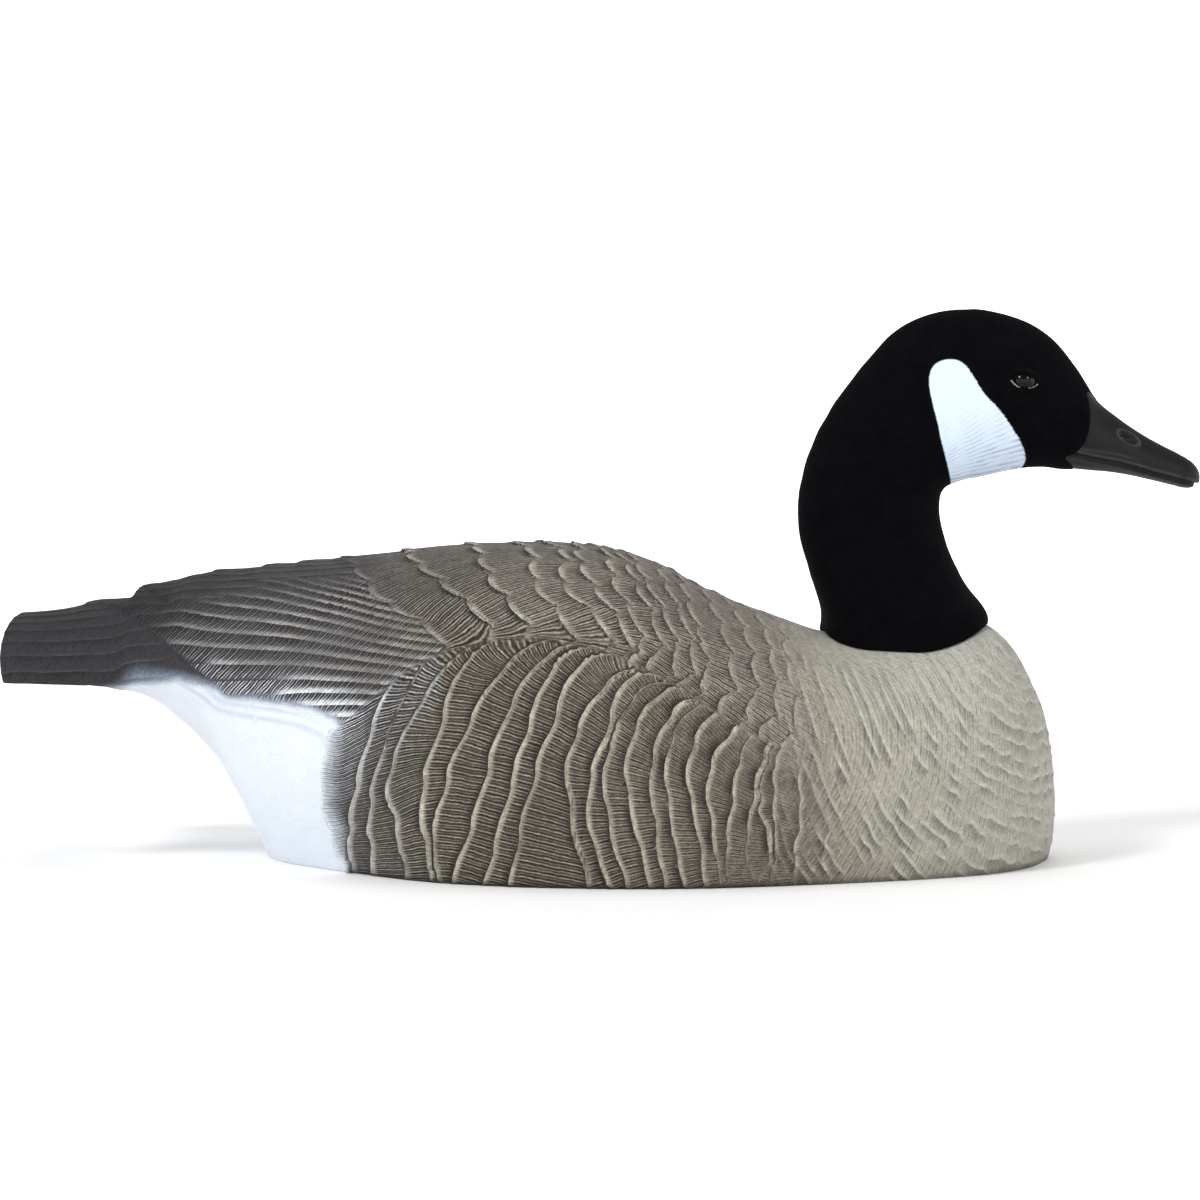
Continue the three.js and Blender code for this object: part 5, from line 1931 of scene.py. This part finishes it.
    def _bill(self) -> Piece:
        """The bill, with its mouth line, nostrils and nail."""
        share = np.linspace(0, 1, self.bill_rows)[:, None]
        last = len(HEAD_LINE) - 2.0
        number = self.bill_start + (last - self.bill_start) * share
        number = np.vstack([self.bill_start - 0.18, number])
        points = self.form.ring(number, self.angles + 0 * number)
        points = np.concatenate([points, self._bill_end(points[-1])])
        normals = self.form.normals(points)
        relief = self._bill_relief(points)
        sink = self.flock * np.exp(-np.maximum(np.arange(len(points)) - 2, 0) / self.flock_fades)
        sink[0] = 2.4
        points = points + normals * (relief - sink[:, None])[..., None]
        points[:, [0, -1], 1] = 0
        points[..., 1] = np.maximum(points[..., 1], 0)
        mesh = MirroredMesh()
        numbers = mesh.add_grid(points, {"relief": np.stack([relief] * 3, -1)})
        mesh.add_skin(numbers)
        mesh.add_end(numbers[0])
        mesh.add_end(numbers[-1], front=True)
        piece = mesh.build("bill", self.seat, smooth_below=75)
        piece.data.materials.append(BillPaint().material())
        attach(piece, "root")
        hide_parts("head_and_neck")
        return piece

    def _bill_end(self, last_ring: Array) -> Array:
        """Rings that close the bill over its rounded end."""
        tip = np.array([BILL_TIP[0], 0, BILL_TIP[1]]) * self.form.height / 100
        middle = (last_ring[0] + last_ring[-1]) / 2
        rings = []
        for reach in np.sin(np.linspace(0, math.pi / 2, 28)[1:]):
            keep = max(1 - reach**self.tip_power, 1e-4) ** (1 / self.tip_power)
            rings.append(middle + (tip - middle) * reach + (last_ring - middle) * keep)
        return np.stack(rings)

    @staticmethod
    def _bill_relief(points: Array) -> Array:
        """Grooves and ridges of the bill: the mouth, the lip over it, the nostril and the nail."""
        x, y, z = np.moveaxis(points, -1, 0)
        side = smoothstep(y, 1.5, 4)
        mouth = distance_to_line(x, z, MOUTH)
        relief = -1.5 * hump(mouth, 0.8) + 0.45 * hump(mouth - 1.8, 1.1)
        relief += 0.3 * hump(mouth + 1.9, 1.2)
        lip = distance_to_line(x, z, LIP)
        lip_ridge = 0.35 * hump(lip, 0.9) - 0.25 * hump(lip - 1.5, 0.9)
        relief += lip_ridge * smoothstep(x, 134, 120) * side
        (rear_x, rear_z), (front_x, front_z) = NOSTRIL
        length, half_wide = math.hypot(front_x - rear_x, front_z - rear_z), 3.2
        lean_x, lean_z = (front_x - rear_x) / length, (front_z - rear_z) / length
        off_x, off_z = x - (rear_x + front_x) / 2, z - (rear_z + front_z) / 2
        along, across = off_x * lean_x + off_z * lean_z, off_z * lean_x - off_x * lean_z
        hole = (np.hypot(2 * along / length, across / half_wide) - 1) * half_wide
        flap = smoothstep(hole, 0.3, -0.5) * hump(across - 0.6 * along + 0.4, 0.6)
        opening = 0.55 * hump(hole, 0.45) - 0.8 * smoothstep(hole, -0.3, -1.2)
        relief += side * (opening + 0.95 * flap)
        nail = np.hypot((x - 163) / 11, (z - 90) / 9) - 1
        return relief - 0.3 * hump(nail * 9, 0.8) * smoothstep(mouth, 0.5, 2.5)


@dataclass
class Studio:
    """Background paper, soft lights and the camera at the photograph's angle. In metres."""

    camera_place: tuple[float, float, float] = (-0.00463, -1.5, 0.196)
    camera_aim: tuple[float, float, float] = (-0.00463, 0, 0.1417)
    lens: float = 81.66
    sensor: float = 36.0
    lamps_aim: tuple[float, float, float] = (0, 0, 0.12)
    paper_radius: float = 5.5
    paper_rise: float = 2.2
    paper_bend: float = 1.2
    paper_drop: float = 0.0002  # between the rim and the paper
    paper_turns: int = 96

    # Name, place, size and power: two soft boxes in front, one overhead, and a weak one behind
    SOFT_BOXES = (
        ("left_box", (-1.5, -1.5, 2.0), 0.5, 36),
        ("right_box", (1.6, -1.9, 1.6), 0.4, 15),
        ("top_box", (0.0, 0.2, 2.3), 1.2, 12),
        ("rear_box", (0.3, 2.0, 1.5), 1.2, 8),
    )

    def build(self) -> Piece:
        """Builds the paper, the lights, the world and the camera."""
        paper = self._paper()
        for name, place, size, power in self.SOFT_BOXES:
            data = bpy.data.lights.new(name, "AREA")
            data.size = size
            data.energy = power
            self._aim(bpy.data.objects.new(name, data), place, self.lamps_aim)
        self._world()
        data = bpy.data.cameras.new("camera")
        data.lens = self.lens
        data.sensor_width = self.sensor
        camera = bpy.data.objects.new("camera", data)
        self._aim(camera, self.camera_place, self.camera_aim)
        bpy.context.scene.camera = camera
        return paper

    @staticmethod
    def _aim(thing: Piece, place: Sequence[float], aim: Sequence[float]) -> None:
        """Puts a light or the camera in its place, turned towards a point, and links it."""
        thing.location = place
        facing = Vector(aim) - Vector(place)
        thing.rotation_euler = facing.to_track_quat("-Z", "Y").to_euler()
        bpy.context.scene.collection.objects.link(thing)

    def _paper(self) -> Piece:
        """The floor, which is level round the decoy and rises far away on every side."""
        level = self.paper_radius - self.paper_bend
        profile = [(level * i / 12, 0.0) for i in range(1, 13)]
        for turn in np.linspace(0, math.pi / 2, 13)[1:]:
            out = level + self.paper_bend * math.sin(turn)
            profile.append((out, self.paper_bend * (1 - math.cos(turn))))
        profile.append((self.paper_radius, self.paper_rise))
        points = [(0.0, 0.0, -self.paper_drop)]
        for out, up in profile:
            for angle in np.linspace(0, 2 * math.pi, self.paper_turns, endpoint=False):
                place = (out * math.cos(angle), out * math.sin(angle), up - self.paper_drop)
                points.append(place)
        numbers = 1 + np.arange(len(points) - 1).reshape(len(profile), self.paper_turns)
        after = np.roll(numbers, -1, 1)
        faces = [(0, *pair) for pair in zip(numbers[0].tolist(), after[0].tolist())]
        quads = np.stack([numbers[:-1], numbers[1:], after[1:], after[:-1]], -1)
        faces += quads.reshape(-1, 4).tolist()
        paper = make_piece("paper", np.array(points), faces)
        paper.data.materials.append(StudioPaper().material())
        return paper

    @staticmethod
    def _world() -> None:
        """An even pale surround."""
        world = bpy.data.worlds.new("surround")
        world.use_nodes = True
        tree = world.node_tree
        tree.nodes.clear()
        surround = add_node(tree, "Background", {"Color": rgba("#FFFFFF"), "Strength": 0.35})
        add_node(tree, "OutputWorld", None, {"Surface": surround[0]})
        bpy.context.scene.world = world


NECK_AT = 0.853  # share of the body's length
FOOT_HALF = 0.253  # half the length of the neck's foot, as a share of the head's height


def main() -> None:
    """Builds the studio and every piece, and reports each of them."""
    logging.basicConfig(level=logging.INFO, format="%(message)s")
    bpy.context.scene.view_settings.view_transform = "Standard"
    LOG.info("stage %s", Studio().build().name)
    low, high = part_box("body_shell")
    tail = np.array([low.x / MM, 0.0, 0.0])
    form, head_form = BodyForm(length=(high.x - low.x) / MM), HeadForm()
    seat_along = NECK_AT * form.length
    seat_height = float(form.section(np.array(seat_along))["top"])
    shell = BodyShell(form, tail, seat_along, FOOT_HALF * head_form.height)
    head = HeadAndNeck(head_form, form, tail, seat_along, seat_height)
    for piece in (shell.build(), *head.build()):
        LOG.info("piece %s: %d faces", piece.name, len(piece.data.polygons))
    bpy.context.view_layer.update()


if __name__ == "__main__":
    main()
